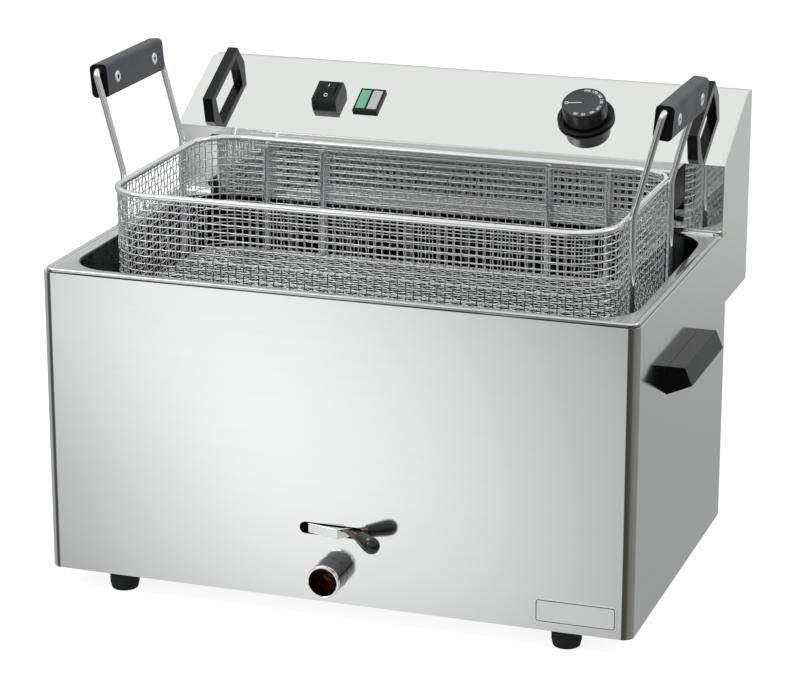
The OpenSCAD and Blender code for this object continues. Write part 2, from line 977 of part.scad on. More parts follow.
module head_front_plate() {
    color("Silver") place() difference() {
        translate([-head_in, head_front, head_step])
            cube([2 * head_in, sheet_t, panel_z - panel_edge - head_step]);
        at_tails()
            rod_along_y(tube_r + fit, 4 * sheet_t, [0, head_front - sheet_t, tail_z]);
        rod_along_y(capillary_r + fit, 4 * sheet_t, [0, head_front - sheet_t, capillary_z]);
    }
}

// Step over the casing's back, wall behind it and bottom of the head
module head_tray() {
    back = head_back - sheet_t;
    t = sheet_t;
    color("Gainsboro") place() difference() {
        across(-head_in, head_in)
            polygon([
                [head_front + t, head_step], [head_wall, head_step],
                [head_wall, head_low], [back, head_low], [back, head_low + t],
                [head_wall + t, head_low + t], [head_wall + t, head_step + t],
                [head_front + t, head_step + t]
            ]);
        at_pins()
            cylinder(d = pin_d + 4 * clear, h = 10);
        rod_along_z(reset_d / 2 + 3 + screw_fit, 4 * t, [reset_x, reset_y, head_low - t]);
        rod_along_z(cable_d / 2 + 2 + screw_fit, 4 * t, [gland_x, gland_y, head_low - t]);
    }
}

module head_back_cover() {
    color("Gainsboro") place() difference() {
        translate([-head_in, head_back - sheet_t, head_low])
            cube([2 * head_in, sheet_t, head_top_z - sheet_t - head_low]);
        at_back_screws()
            screw_hole(4 * sheet_t);
    }
}

module head_side() {
    t = sheet_t;
    color("Silver") difference() {
        union() {
            across(head_in, head_hw)
                polygon([
                    [head_front, head_step], [head_front, panel_z],
                    [head_front + panel_run, head_top_z], [head_back, head_top_z],
                    [head_back, head_low], [head_wall, head_low], [head_wall, head_step]
                ]);
            translate([head_in - flange_w, head_back - 2 * t, head_low + t])
                cube([flange_w + t / 2, t, head_top_z - head_low - 3 * t]);
        }
        at_back_screws()
            screw_hole(4 * t);
    }
}

module head_side_right() {
    place()
        head_side();
}

module head_side_left() {
    place()
        mirror([1, 0, 0])
            head_side();
}

module back_cover_screws() {
    color("DimGray") place()
        at_back_screws()
            screw(4 * sheet_t);
}

// Bridge handle whose feet splay outwards
module panel_handle(x) {
    foot = panel_handle_l / 2;
    grip = panel_handle_grip / 2;
    bar = panel_handle_bar;
    color("Black") difference() {
        on_panel(x, panel_mid)
            across(-panel_handle_w / 2, panel_handle_w / 2)
                difference() {
                    polygon([
                        [-foot, 0], [-grip, panel_handle_h], [grip, panel_handle_h], [foot, 0]
                    ]);
                    polygon([
                        [2 * bar - foot, -1], [2 * bar - foot, 1],
                        [1.2 * bar - grip, panel_handle_h - bar],
                        [grip - 1.2 * bar, panel_handle_h - bar],
                        [foot - 2 * bar, 1], [foot - 2 * bar, -1]
                    ]);
                }
        at_panel_screws()
            translate([0, 0, -1])
                cylinder(d = screw_d + 2 * screw_fit, h = panel_handle_h / 3 + 1);
    }
}

module panel_handle_left() {
    place()
        panel_handle(-panel_handle_x);
}

module panel_handle_right() {
    place()
        panel_handle(panel_handle_x);
}

module panel_handle_screws() {
    color("DarkGray") place()
        at_panel_screws()
            translate([0, 0, -sheet_t])
                mirror([0, 0, 1])
                    screw(sheet_t + panel_handle_h / 3 - 0.5);
}

rocker_pivot = switch_h - 2.5;
trunnion_d = 3;
trunnion_l = 2;
pocket_w = rocker_w + 1;
pocket_l = rocker_l + 2;

module switch_housing() {
    half = switch_l / 2;
    top = pocket_l / 2 + 1;
    color("Black") place() on_panel(switch_x, panel_mid) difference() {
        union() {
            across(-switch_w / 2, switch_w / 2)
                polygon([
                    [-half, 0], [-half, 2], [-top, switch_h], [top, switch_h], [half, 2], [half, 0]
                ]);
            box([switch_w - 4, switch_l - 4, switch_deep + 1], [0, 0, -switch_deep]);
        }
        box([pocket_w, pocket_l, big], [0, 0, 1]);
        rod_along_x(
            trunnion_d / 2 + fit, pocket_w + 2 * trunnion_l + 1,
            [-pocket_w / 2 - trunnion_l - 0.5, 0, rocker_pivot]
        );
    }
}

module rocker() {
    half = rocker_l / 2;
    color("DimGray") place() on_panel(switch_x, panel_mid)
        translate([0, 0, rocker_pivot])
            rotate([rocker_tilt, 0, 0]) {
                across(-rocker_w / 2, rocker_w / 2)
                    polygon([
                        [-half, 2], [0, 4], [half, 2], [half, -1.5], [3, -4.5], [-3, -4.5], [-half, -1.5]
                    ]);
                rod_along_x(
                    trunnion_d / 2, rocker_w + 2 * trunnion_l, [-rocker_w / 2 - trunnion_l, 0, 0]
                );
            }
}

lens_gap = 2;
lens_w = (lamp_w - 3 * lens_gap) / 2;
lens_l = lamp_l - 3 * lens_gap;
lens_h = lamp_h + 0.8;

module indicator_frame() {
    color("Black") place() on_panel(lamp_x, panel_mid) difference() {
        union() {
            box([lamp_w, lamp_l, lamp_h], [0, 0, 0]);
            box([lamp_w - 4, lamp_l - 4, 20], [0, 0, -19]);
        }
        for (s = [-1, 1])
            box([lens_w, lens_l, lamp_h], [s * (lens_w + lens_gap) / 2, 0, 1]);
    }
}

module lens(side) {
    place() on_panel(lamp_x, panel_mid)
        box([lens_w - 2 * fit, lens_l - 2 * fit, lens_h - 1], [side * (lens_w + lens_gap) / 2, 0, 1]);
}

module lens_green() {
    color("SeaGreen")
        lens(-1);
}

module lens_clear() {
    color("White")
        lens(1);
}

bush_d = shaft_d + 4;
bush_collar = 4;
dial_box_w = 40;
dial_box_h = 30;
shaft_in = 20;

module thermostat_body() {
    color("Tan") place() on_panel(knob_x, panel_mid) difference() {
        union() {
            box([dial_box_w, dial_box_w, dial_box_h], [0, 0, -sheet_t - dial_box_h - bush_collar + 1]);
            translate([0, 0, -sheet_t - bush_collar])
                cylinder(d = bush_d + 8, h = bush_collar);
            translate([0, 0, -sheet_t - 1])
                cylinder(d = bush_d, h = sheet_t + 1.5);
        }
        translate([0, 0, -shaft_in])
            cylinder(d = shaft_d + 2 * fit, h = 2 * shaft_in);
    }
}

// Knob with a skirt, on the shaft that turns with it
module thermostat_knob() {
    low = 1;
    color("Black") place() on_panel(knob_x, panel_mid) {
        translate([0, 0, low])
            cylinder(d = knob_d + 2 * knob_skirt, h = 3);
        translate([0, 0, low])
            cylinder(d = knob_d, h = knob_h - 1);
        translate([0, 0, knob_h])
            cylinder(d1 = knob_d, d2 = knob_d - 2, h = 1);
        translate([0, 0, 1 - shaft_in])
            cylinder(d = shaft_d, h = shaft_in + 1);
    }
}

// Sensing bulb between the hairpins, with its capillary up to the head
module thermostat_bulb() {
    up = capillary_z - bulb_bend;
    down = run_z + bulb_bend;
    color("Peru") place() {
        rod_along_y(capillary_r, tail_in - leg_y - bulb_bend, [0, leg_y + bulb_bend, capillary_z]);
        translate([0, leg_y + bulb_bend, up])
            rotate([90, 0, -90])
                quarter(bulb_bend, capillary_r);
        rod_along_z(capillary_r, up - down, [0, leg_y, down]);
        translate([0, leg_y - bulb_bend, down])
            rotate([-90, 0, 90])
                quarter(bulb_bend, capillary_r);
        rod_along_y(bulb_r, bulb_l, [0, leg_y - bulb_bend - bulb_l, run_z]);
    }
}

module safety_thermostat() {
    top = head_low + sheet_t;
    color("Tan") place() difference() {
        union() {
            box([cut_out_w, cut_out_w, cut_out_h], [reset_x, reset_y, top]);
            rod_along_z(reset_d / 2 + 3, sheet_t + 3, [reset_x, reset_y, head_low - 2]);
        }
        rod_along_z(reset_d / 2 + fit, 14 + sheet_t + 2, [reset_x, reset_y, head_low - 2 - fit]);
    }
}

module reset_button() {
    color("FireBrick") place()
        rod_along_z(
            reset_d / 2, reset_out + 14 + sheet_t - reset_travel - 1,
            [reset_x, reset_y, head_low - 2 - reset_out]
        );
}

module contactor() {
    color("DarkSlateGray") place() {
        box([contactor_w, contactor_d, contactor_h], [contactor_x, fittings_y, head_low + sheet_t]);
        box([terminal_w, terminal_d, terminal_h], [terminal_x, fittings_y, head_low + sheet_t]);
    }
}

// Four hairpins with their legs over the tank's back
module heating_elements() {
    up = tail_z - tube_bend;
    down = run_z + tube_bend;
    color("DarkSlateGray") place() {
        at_tails() {
            rod_along_y(tube_r, tail_in - leg_y - tube_bend, [0, leg_y + tube_bend, tail_z]);
            translate([0, leg_y + tube_bend, up])
                rotate([90, 0, -90])
                    quarter(tube_bend, tube_r);
            rod_along_z(tube_r, up - down, [0, leg_y, down]);
            translate([0, leg_y - tube_bend, down])
                rotate([-90, 0, 90])
                    quarter(tube_bend, tube_r);
            rod_along_y(tube_r, leg_y - tube_bend - turn_y, [0, turn_y, run_z]);
        }
        for (i = [0:hairpins - 1])
            translate([(i - (hairpins - 1) / 2) * hairpin_pitch, turn_y, run_z])
                rotate([0, 0, 180])
                    rotate_extrude(angle = 180)
                        translate([hairpin_half, 0])
                            circle(r = tube_r);
    }
}

module element_plate() {
    w = hairpin_pitch * (hairpins - 1) + 2 * hairpin_half + 6 * tube_r;
    color("Silver") place() difference() {
        translate([-w / 2, head_front + sheet_t, head_step + sheet_t])
            cube([w, 3, 2 * (tail_z - head_step - sheet_t)]);
        at_tails()
            rod_along_y(tube_r + fit, 4 * sheet_t + 3, [0, head_front - sheet_t, tail_z]);
    }
}

module element_clamps() {
    w = hairpin_pitch * (hairpins - 1) + 2 * hairpin_half + 4 * tube_r;
    color("Silver") place()
        for (k = [1, 2])
            box([w, 12, 3], [0, turn_y + k * (leg_y - turn_y) / 3, run_z - tube_r - fit - 3]);
}

module hanger_shelf() {
    t = sheet_t;
    low = case_top + shelf_gap;
    color("WhiteSmoke") place() union() {
        across(-shelf_w / 2, shelf_w / 2)
            polygon([
                [shelf_front, shelf_top], [head_front, shelf_top],
                [head_front, shelf_top - shelf_lip], [head_front - t, shelf_top - shelf_lip],
                [head_front - t, shelf_top - t], [shelf_front + t, shelf_top - t],
                [shelf_front + t, low], [shelf_front, low]
            ]);
        for (x = [-shelf_w / 2, shelf_w / 2 - t])
            across(x, x + t)
                polygon([
                    [shelf_front, shelf_top], [head_front, shelf_top],
                    [head_front, shelf_top - shelf_cheek], [shelf_front, shelf_top - shelf_cheek]
                ]);
    }
}

module cable_gland() {
    r = cable_d / 2;
    color("DimGray") place() translate([gland_x, gland_y, head_low]) difference() {
        union() {
            translate([0, 0, -6])
                cylinder(r = r + 5, h = 6, $fn = 6);
            translate([0, 0, -18])
                cylinder(r1 = r + 2, r2 = r + 4, h = 12);
            cylinder(r = r + 2, h = sheet_t + 6);
            translate([0, 0, sheet_t])
                cylinder(r = r + 5, h = 4, $fn = 6);
        }
        translate([0, 0, -big / 2])
            cylinder(r = r, h = big);
    }
}

// Pieces of the basket, placed about the middle of its plan
module at_basket() {
    place()
        translate([0, basket_mid, 0])
            children();
}

module basket_rim() {
    color("Silver") at_basket()
        translate([0, 0, rim_z])
            wire_loop(rim_w, rim_depth, rim_bend, rim_r);
}

module basket_long_nets() {
    w = rim_w - 2 * rim_bend - net_seam;
    color("Silver") at_basket()
        for (s = [-1, 1])
            translate([-w / 2, s * rim_depth / 2 + net_t / 2, wall_low])
                rotate([90, 0, 0])
                    net(w, wall_h, net_long, net_high);
}

module basket_end_nets() {
    w = rim_depth - 2 * rim_bend - net_seam;
    color("Silver") at_basket()
        for (s = [-1, 1])
            translate([s * rim_w / 2 - net_t / 2, -w / 2, wall_low])
                rotate([90, 0, 90])
                    net(w, wall_h, net_short, net_high);
}

// Floor net inside a band that follows the walls
module basket_floor_net() {
    gap_x = (rim_w - 2 * rim_bend) / floor_long - net_bar;
    gap_y = (rim_depth - 2 * rim_bend) / floor_short - net_bar;
    outer_w = rim_w + net_t;
    outer_d = rim_depth + net_t;
    pitch_x = gap_x + net_bar;
    pitch_y = gap_y + net_bar;
    side = rim_bend - 2 * net_bar;
    color("Silver") at_basket()
        translate([0, 0, wall_low - net_t])
            linear_extrude(net_t - fit)
                difference() {
                    rounded(outer_w, outer_d, rim_bend + net_t / 2);
                    for (i = [0:floor_long - 1], j = [0:floor_short - 1])
                        translate([(i - (floor_long - 1) / 2) * pitch_x, (j - (floor_short - 1) / 2) * pitch_y])
                            square([gap_x, gap_y], center = true);
                    for (i = [0:floor_long - 1], s = [-1, 1])
                        translate([(i - (floor_long - 1) / 2) * pitch_x, s * (rim_depth / 2 - rim_bend / 2)])
                            square([gap_x, side], center = true);
                    for (j = [0:floor_short - 1], s = [-1, 1])
                        translate([s * (rim_w / 2 - rim_bend / 2), (j - (floor_short - 1) / 2) * pitch_y])
                            square([side, gap_y], center = true);
                }
}

// Round corners: hoops at the heights of the nets' bars, and upright bars
module basket_corner_nets() {
    pitch = (wall_h - net_bar) / net_high;
    color("Silver") at_basket()
        for (i = [0:3]) {
            sx = (i == 0 || i == 3) ? 1 : -1;
            sy = i < 2 ? 1 : -1;
            translate([sx * (rim_w / 2 - rim_bend), sy * (rim_depth / 2 - rim_bend), wall_low])
                rotate([0, 0, 90 * i]) {
                    for (j = [0:net_high])
                        translate([0, 0, j * pitch])
                            rotate_extrude(angle = 90)
                                translate([rim_bend - net_t / 2, 0])
                                    square([net_t, net_bar]);
                    for (k = [0:3])
                        rotate([0, 0, 11.25 + 22.5 * k])
                            translate([rim_bend - net_t / 2 + fit, -net_bar / 2, fit])
                                cube([net_t - 2 * fit, net_bar, wall_h - 2 * fit]);
                }
        }
}

// Wire round the foot of the basket and stiffening rods inside its back
module basket_base_wires() {
    low = wall_low - net_t - base_r - fit;
    rod_y = rim_depth / 2 - net_t / 2 - base_r - fit;
    color("Silver") at_basket() {
        translate([0, 0, low])
            wire_loop(rim_w, rim_depth, rim_bend, base_r);
        for (x = stiff_x)
            rod_along_z(base_r, wall_h - rim_r, [x, rod_y, wall_low]);
    }
}

// Starts where a rod's bend above the rim ends, and leans out with the handle
module at_handle() {
    translate([rod_x + lean_bend * (1 - cos(lean)), handle_back, rim_z + lean_bend * sin(lean)])
        rotate([0, lean, 0])
            children();
}

// Starts in the middle of a grip, which leans less than its rods
module at_grip() {
    at_handle()
        translate([0, 0, grip_up + grip_top])
            rotate([0, grip_lean - lean, 0])
                translate([0, 0, -grip_top])
                    children();
}

// Two bent rods, each up one end of the basket, through a grip and down again
module basket_handle_rods() {
    low = wall_low + net_bar;
    rise = grip_up + grip_top;
    color("Silver") at_basket()
        mirrored([1, 0, 0]) {
            for (s = [-1, 1])
                rod_along_z(rod_r, rim_z - low - rod_seam, [rod_x, handle_back + s * rod_span / 2, low]);
            at_handle() {
                for (s = [-1, 1]) {
                    rod_along_z(rod_r, rise - rod_bend, [0, s * rod_span / 2, 0]);
                    translate([lean_bend, s * rod_span / 2, 0])
                        rotate([-90, 0, 180])
                            rotate_extrude(angle = lean)
                                translate([lean_bend, 0])
                                    circle(r = rod_r);
                }
                rod_along_y(rod_r, rod_span - 2 * rod_bend, [0, rod_bend - rod_span / 2, rise]);
                mirrored([0, 1, 0])
                    translate([0, rod_span / 2 - rod_bend, rise - rod_bend])
                        rotate([90, 0, 90])
                            quarter(rod_bend, rod_r);
            }
        }
}

module basket_grips() {
    color("DarkSlateGray") at_basket()
        mirrored([1, 0, 0])
            at_grip()
                difference() {
                    translate([0, grip_l / 2, 0])
                        rotate([90, 0, 0])
                            linear_extrude(grip_l)
                                rounded(grip_t, grip_h, grip_round);
                    rod_along_y(rod_r + fit, big, [0, -big / 2, grip_top]);
                    for (s = [-1, 1])
                        rod_along_x(rivet_d / 2 + fit, 2 * grip_t, [-grip_t, s * rivet_span / 2, 0]);
                }
}

module grip_rivets() {
    color("WhiteSmoke") at_basket()
        mirrored([1, 0, 0])
            at_grip()
                for (s = [-1, 1]) {
                    rod_along_x(rivet_d / 2, grip_t + 2 * fit, [-grip_t / 2 - fit, s * rivet_span / 2, 0]);
                    for (x = [-grip_t / 2 - rivet_head_h, grip_t / 2])
                        rod_along_x(rivet_head_d / 2, rivet_head_h, [x, s * rivet_span / 2, 0]);
                }
}

casing_wrap();
rear_panel();
rear_screws();
base_plate();
feet();
foot_bolts();
tank();
side_handle_left();
side_handle_right();
side_handle_screws();
blank_plate();
drain_spud();
drain_elbow();
valve_body();
valve_seats();
stem_gland();
drain_outlet();
head_brackets();
locating_pins();
lever_hub();
drain_lever();
lever_grip();
valve_stem();
valve_ball();
lever_nut();
control_panel();
head_front_plate();
head_tray();
head_back_cover();
head_side_left();
head_side_right();
back_cover_screws();
panel_handle_left();
panel_handle_right();
panel_handle_screws();
switch_housing();
indicator_frame();
lens_green();
lens_clear();
thermostat_body();
thermostat_bulb();
safety_thermostat();
contactor();
heating_elements();
element_plate();
element_clamps();
hanger_shelf();
cable_gland();
rocker();
thermostat_knob();
reset_button();
basket_rim();
basket_long_nets();
basket_end_nets();
basket_floor_net();
basket_corner_nets();
basket_base_wires();
basket_handle_rods();
basket_grips();
grip_rivets();
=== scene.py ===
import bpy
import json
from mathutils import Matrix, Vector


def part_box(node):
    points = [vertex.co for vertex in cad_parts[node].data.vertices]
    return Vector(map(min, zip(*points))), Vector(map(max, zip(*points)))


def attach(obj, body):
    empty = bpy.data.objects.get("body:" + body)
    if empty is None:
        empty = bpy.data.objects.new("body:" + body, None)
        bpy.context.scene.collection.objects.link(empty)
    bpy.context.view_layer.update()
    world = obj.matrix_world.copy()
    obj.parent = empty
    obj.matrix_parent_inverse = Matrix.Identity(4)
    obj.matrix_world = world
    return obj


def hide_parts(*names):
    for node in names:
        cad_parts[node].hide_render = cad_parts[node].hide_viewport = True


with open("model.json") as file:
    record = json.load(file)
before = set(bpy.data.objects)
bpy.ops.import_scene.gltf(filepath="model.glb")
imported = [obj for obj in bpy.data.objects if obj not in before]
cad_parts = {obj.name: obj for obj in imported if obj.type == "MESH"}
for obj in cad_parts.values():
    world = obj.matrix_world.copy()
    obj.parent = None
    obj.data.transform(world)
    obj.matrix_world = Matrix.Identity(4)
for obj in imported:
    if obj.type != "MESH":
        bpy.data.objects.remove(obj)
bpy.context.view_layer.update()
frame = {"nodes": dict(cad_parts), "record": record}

import json
import math
from contextlib import contextmanager

import bmesh
import bpy
from bpy.props import FloatProperty, FloatVectorProperty, IntProperty, PointerProperty
from bpy.types import NodeSocket, Operator, Panel, PropertyGroup
from mathutils import Matrix, Vector

bl_info = {
    "name": "Countertop Fryer Finishes",
    "version": (1, 0, 0),
    "blender": (4, 5, 0),
    "location": "View3D > Sidebar > Fryer",
    "description": "Fine pieces and finishes for a countertop fryer on its packed frame",
    "category": "Object",
}

MM = 0.001
RECORD = frame["record"]
BODY_OF = {n: body for body, members in RECORD["behaviour"]["bodies"].items() for n in members}
SLOT_OF = {part["node"]: part["material_slot"] for part in RECORD["subparts"]}

# The casing's front face, from which lengths in millimetres are given below
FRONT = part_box("casing_wrap")[0].y
# Slope of the control panel and the middle of its face
PANEL_SLOPE = math.atan2(50.0, 90.0)
PANEL_MID = (360.0, 393.0)
SWITCH_X, KNOB_X = -132.0, 128.0
# Distance of the casing's front bends from its middle
BEND_X = 0.265


# Places

def front_mm(x, y, z):
    """A place in millimetres from the casing's front face, as a point of the frame."""
    return Vector((x * MM, FRONT + y * MM, z * MM))


def moved(x, y=0.0, z=0.0):
    """A move by millimetres."""
    return Matrix.Translation((x * MM, y * MM, z * MM))


def spun(degrees, axis):
    """A turn about an axis through the origin."""
    return Matrix.Rotation(math.radians(degrees), 4, axis)


def on_panel(x, up=0.0, lift=0.0):
    """The frame of a place on the control panel: X across, Y up the slope, Z out of it."""
    turn = Matrix.Rotation(PANEL_SLOPE, 4, "X")
    return Matrix.Translation(front_mm(x, *PANEL_MID)) @ turn @ moved(0, up, lift)


# Sizes and colours

def length(name, description, default):
    return FloatProperty(name=name, description=description, default=default,
                         unit="LENGTH", subtype="DISTANCE", precision=5)


def colour(name, description, default):
    return FloatVectorProperty(name=name, description=description, default=default,
                               subtype="COLOR", size=3, min=0.0, max=1.0)


def point(name, description, default):
    return FloatVectorProperty(name=name, description=description, default=default,
                               subtype="TRANSLATION", size=3, unit="LENGTH")


def number(name, description, default, unit):
    return FloatProperty(name=name, description=description, default=default, unit=unit)


class FryerSteel(PropertyGroup):
    """Steel sheets, wires and fasteners"""
    sheet: colour("Sheet", "Satin sheet of the casing and head", (0.90, 0.905, 0.90))
    polished: colour("Polished sheet", "Mirror sheet of the panel and front plate", (0.905, 0.91, 0.90))
    deck: colour("Deck", "Drawn deck and lip of the tank", (0.80, 0.81, 0.80))
    # The well's near-black tone is painted shade of the deep tank
    well: colour("Well", "Oil stained inside of the tank", (0.06, 0.064, 0.066))
    wire: colour("Wire", "Bright wire of the basket", (0.93, 0.94, 0.95))
    edge: length("Sheet edge", "Rounding on the cut edges of the sheets", 0.3 * MM)


class FryerPlastic(PropertyGroup):
    """Moulded pieces"""
    black: colour("Black", "Handles, switch and knob", (0.0025, 0.0028, 0.0033))
    charcoal: colour("Grips", "Grips of the basket", (0.052, 0.058, 0.068))
    rubber: colour("Feet", "Rubber of the feet", (0.014, 0.015, 0.016))
    green: colour("Green lens", "Left lens of the lamp", (0.16, 0.56, 0.36))
    clear: colour("Clear lens", "Right lens of the lamp", (0.60, 0.60, 0.61))
    marks: colour("Marks", "Numbers of the dial and marks of the switch", (0.82, 0.83, 0.84))
    edge: length("Moulded edge", "Rounding on the edges of moulded pieces", 0.7 * MM)


class FryerBasket(PropertyGroup):
    """Woven net of the basket"""
    pitch: length("Pitch", "Distance between wires of the net", 7.25 * MM)
    wire: length("Wire", "Diameter of the net's wire", 1.3 * MM)
    width: length("Width", "Width of the net between its wall middles", 467.0 * MM)
    depth: length("Depth", "Depth of the net between its wall middles", 240.0 * MM)
    corner: length("Corner", "Radius of the net's upright corners", 40.0 * MM)


class FryerKnob(PropertyGroup):
    """Thermostat knob"""
    cap: length("Cap", "Radius of the cap", 21.5 * MM)
    skirt: length("Skirt", "Radius of the skirt", 27.5 * MM)
    height: length("Height", "Top of the cap over the panel", 20.0 * MM)
    figure: length("Figures", "Height of the figures on the dial", 4.30 * MM)
    first: IntProperty(name="First figure", description="Lowest figure on the dial", default=50)
    step: IntProperty(name="Step", description="Step between the dial's figures", default=20)


class FryerStage(PropertyGroup):
    """Camera, floor and light"""
    eye: point("Eye", "Place of the camera", (0.8480, -2.4893, 1.0191))
    aim: point("Aim", "Point that the camera looks at", (0.0128, -0.04777, 0.2237))
    lens: number("Lens", "Focal length of the camera", 132.78, "CAMERA")
    floor: length("Floor", "Side of the floor", 14.0)
    key: number("Key lamp", "Power of the large lamp", 22.0, "POWER")
    fill: number("Fill lamp", "Power of the lamp at the right", 8.0, "POWER")


# Selecting and shaping

def clear_selection():
    if bpy.context.object and bpy.context.object.mode != "OBJECT":
        bpy.ops.object.mode_set(mode="OBJECT")
    bpy.ops.object.select_all(action="DESELECT")


def alone(piece):
    """Makes one object the only selected one, and the active one."""
    clear_selection()
    piece.select_set(True)
    bpy.context.view_layer.objects.active = piece


def made(operator, **values):
    """Runs an operator that adds an object, and gives the object."""
    clear_selection()
    operator(**values)
    return bpy.context.object


@contextmanager
def editing(piece):
    """Edit mode on one piece, which starts with all of it selected."""
    alone(piece)
    bpy.ops.object.mode_set(mode="EDIT")
    bpy.ops.mesh.select_all(action="SELECT")
    yield
    bpy.ops.object.mode_set(mode="OBJECT")


def choose(kind, action):
    """In edit mode, works on edges or faces, with all or none of them selected."""
    bpy.ops.mesh.select_mode(type=kind)
    bpy.ops.mesh.select_all(action=action)


def pick(piece, kind, test):
    """In edit mode, selects the edges or faces for which the test holds."""
    choose({"edges": "EDGE", "faces": "FACE"}[kind], "DESELECT")
    shape = bmesh.from_edit_mesh(piece.data)
    found = [part for part in getattr(shape, kind) if test(part)]
    if not found:
        raise RuntimeError("nothing to select on " + piece.name)
    for part in found:
        part.select_set(True)
    shape.select_flush_mode()
    bmesh.update_edit_mesh(piece.data)


def face_outwards():
    """In edit mode, turns all faces outwards."""
    bpy.ops.mesh.select_all(action="SELECT")
    bpy.ops.mesh.normals_make_consistent(inside=False)


def linked(name, data):
    """A new object in the scene, alone selected."""
    piece = bpy.data.objects.new(name, data)
    bpy.context.scene.collection.objects.link(piece)
    alone(piece)
    return piece


def apply_modifier(piece, kind, **values):
    alone(piece)
    modifier = piece.modifiers.new(kind.lower(), kind)
    for key, value in values.items():
        setattr(modifier, key, value)
    bpy.ops.object.modifier_apply(modifier=modifier.name)


def smooth(piece, angle):
    alone(piece)
    bpy.ops.object.shade_smooth_by_angle(angle=math.radians(angle))


def smooth_flat(piece, angle):
    """Smooths a piece and keeps its flat faces flat."""
    smooth(piece, angle)
    apply_modifier(piece, "WEIGHTED_NORMAL", keep_sharp=True)


def soften(piece, width, segments=2, angle=32.0):
    """Rounds the sharp edges of a piece."""
    apply_modifier(piece, "BEVEL", width=width, segments=segments, limit_method="ANGLE",
                   angle_limit=math.radians(angle), miter_outer="MITER_ARC")
    smooth_flat(piece, 44.0)


def settle(piece, matrix=None):
    """Puts a piece's place into its mesh, so that its object sits at the origin."""
    if matrix is not None:
        piece.matrix_world = matrix
    alone(piece)
    bpy.ops.object.transform_apply(location=True, rotation=True, scale=True)
    return piece


def join(pieces, name):
    clear_selection()
    for piece in pieces:
        piece.select_set(True)
    bpy.context.view_layer.objects.active = pieces[0]
    bpy.ops.object.join()
    pieces[0].name = name
    return pieces[0]


def copy_of_node(node, name):
    """A copy of a CAD node with its triangles merged into flat faces."""
    piece = linked(name, frame["nodes"][node].data.copy())
    with editing(piece):
        bpy.ops.mesh.remove_doubles(threshold=0.002 * MM)
        bpy.ops.mesh.customdata_custom_splitnormals_clear()
        bpy.ops.mesh.dissolve_limited(angle_limit=math.radians(0.6))
    return piece


def turned(name, profile, sides):
    """Turns a profile of (radius, height) in millimetres round Z: a ring that is drawn out point by point."""
    least = 1e-7
    (radius, height), *rest = [(max(r * MM, least), z * MM) for r, z in profile]
    piece = made(bpy.ops.mesh.primitive_circle_add, vertices=sides, radius=radius, location=(0, 0, height))
    piece.name = name
    settle(piece)
    with editing(piece):
        choose("EDGE", "SELECT")
        for new_radius, new_height in rest:
            bpy.ops.mesh.extrude_edges_move(
                TRANSFORM_OT_translate={"value": (0, 0, new_height - height)})
            scale = new_radius / radius
            bpy.ops.transform.resize(value=(scale, scale, 1), center_override=(0, 0, new_height))
            radius, height = new_radius, new_height
        bpy.ops.mesh.select_all(action="SELECT")
        bpy.ops.mesh.remove_doubles(threshold=1e-6)
        choose("EDGE", "DESELECT")
        bpy.ops.mesh.select_non_manifold(extend=False, use_wire=False, use_multi_face=False,
                                         use_non_contiguous=False, use_verts=False)
        bpy.ops.mesh.fill_holes(sides=0)
        face_outwards()
    return piece


def rounded_loop(half_x, y0, y1, radius, z, steps=8):
    """Points of a level rectangle with round corners, in millimetres."""
    points = []
    corners = ((half_x - radius, y1 - radius, 0), (-half_x + radius, y1 - radius, 90),
               (-half_x + radius, y0 + radius, 180), (half_x - radius, y0 + radius, 270))
    for cx, cy, start in corners:
        for i in range(steps + 1):
            a = math.radians(start + 90 * i / steps)
            points.append(front_mm(cx + radius * math.cos(a), cy + radius * math.sin(a), z))
    return points


def wires(name, lines, diameter):
    """Wires along lines of points, each (points, closed), made one mesh."""
    curve = bpy.data.curves.new(name, "CURVE")
    curve.dimensions = "3D"
    curve.bevel_depth = diameter / 2
    curve.bevel_resolution = 0
    curve.use_fill_caps = True
    for points, closed in lines:
        spline = curve.splines.new("POLY")
        spline.points.add(len(points) - 1)
        spline.points.foreach_set("co", [v for p in points for v in (*p, 1.0)])
        spline.use_cyclic_u = closed
    linked(name, curve)
    bpy.ops.object.convert(target="MESH")
    piece = bpy.context.object
    with editing(piece):
        face_outwards()
    smooth(piece, 95.0)
    return piece


def finished(piece, slot, body, *nodes):
    """Gives a piece its finish, the body that it rides on and the CAD nodes that it stands for."""
    piece.data.materials.clear()
    piece.data.materials.append(finish(slot))
    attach(piece, body)
    if nodes:
        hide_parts(*nodes)
    return piece


def dress(node, width, segments=2, angle=32.0):
    """A copy of a CAD node with rounded edges stands for the node."""
    piece = copy_of_node(node, node + "_finished")
    if width > 0:
        soften(piece, width, segments, angle)
    else:
        smooth_flat(piece, 40.0)
    return finished(piece, SLOT_OF[node], BODY_OF[node], node)


def second_finish(piece, name, test):
    """Gives the faces for which the test holds another finish."""
    piece.data.materials.append(finish(name))
    index = len(piece.data.materials) - 1
    for face in piece.data.polygons:
        if test(face):
            face.material_index = index


def printed_ring(place, radius, half_line):
    ring = made(bpy.ops.mesh.primitive_torus_add, major_segments=28, minor_segments=6,
                major_radius=radius * MM, minor_radius=half_line * MM)
    return settle(ring, place @ Matrix.Diagonal((1.0, 1.0, 0.3, 1.0)))


def printed_bar(place, wide, high, thick):
    bar = made(bpy.ops.mesh.primitive_cube_add, size=1.0)
    return settle(bar, place @ Matrix.Diagonal((wide * MM, high * MM, thick * MM, 1.0)))


def printed(pieces, name, body):
    """Marks joined to one printed piece."""
    marks = finished(join(pieces, name), "seat_white", body)
    marks.data.materials[0] = finish("printed_marks")
    return marks


# Nodes

# The part of its range that a noise mostly keeps to
NOISE_RANGE = (0.25, 0.75)


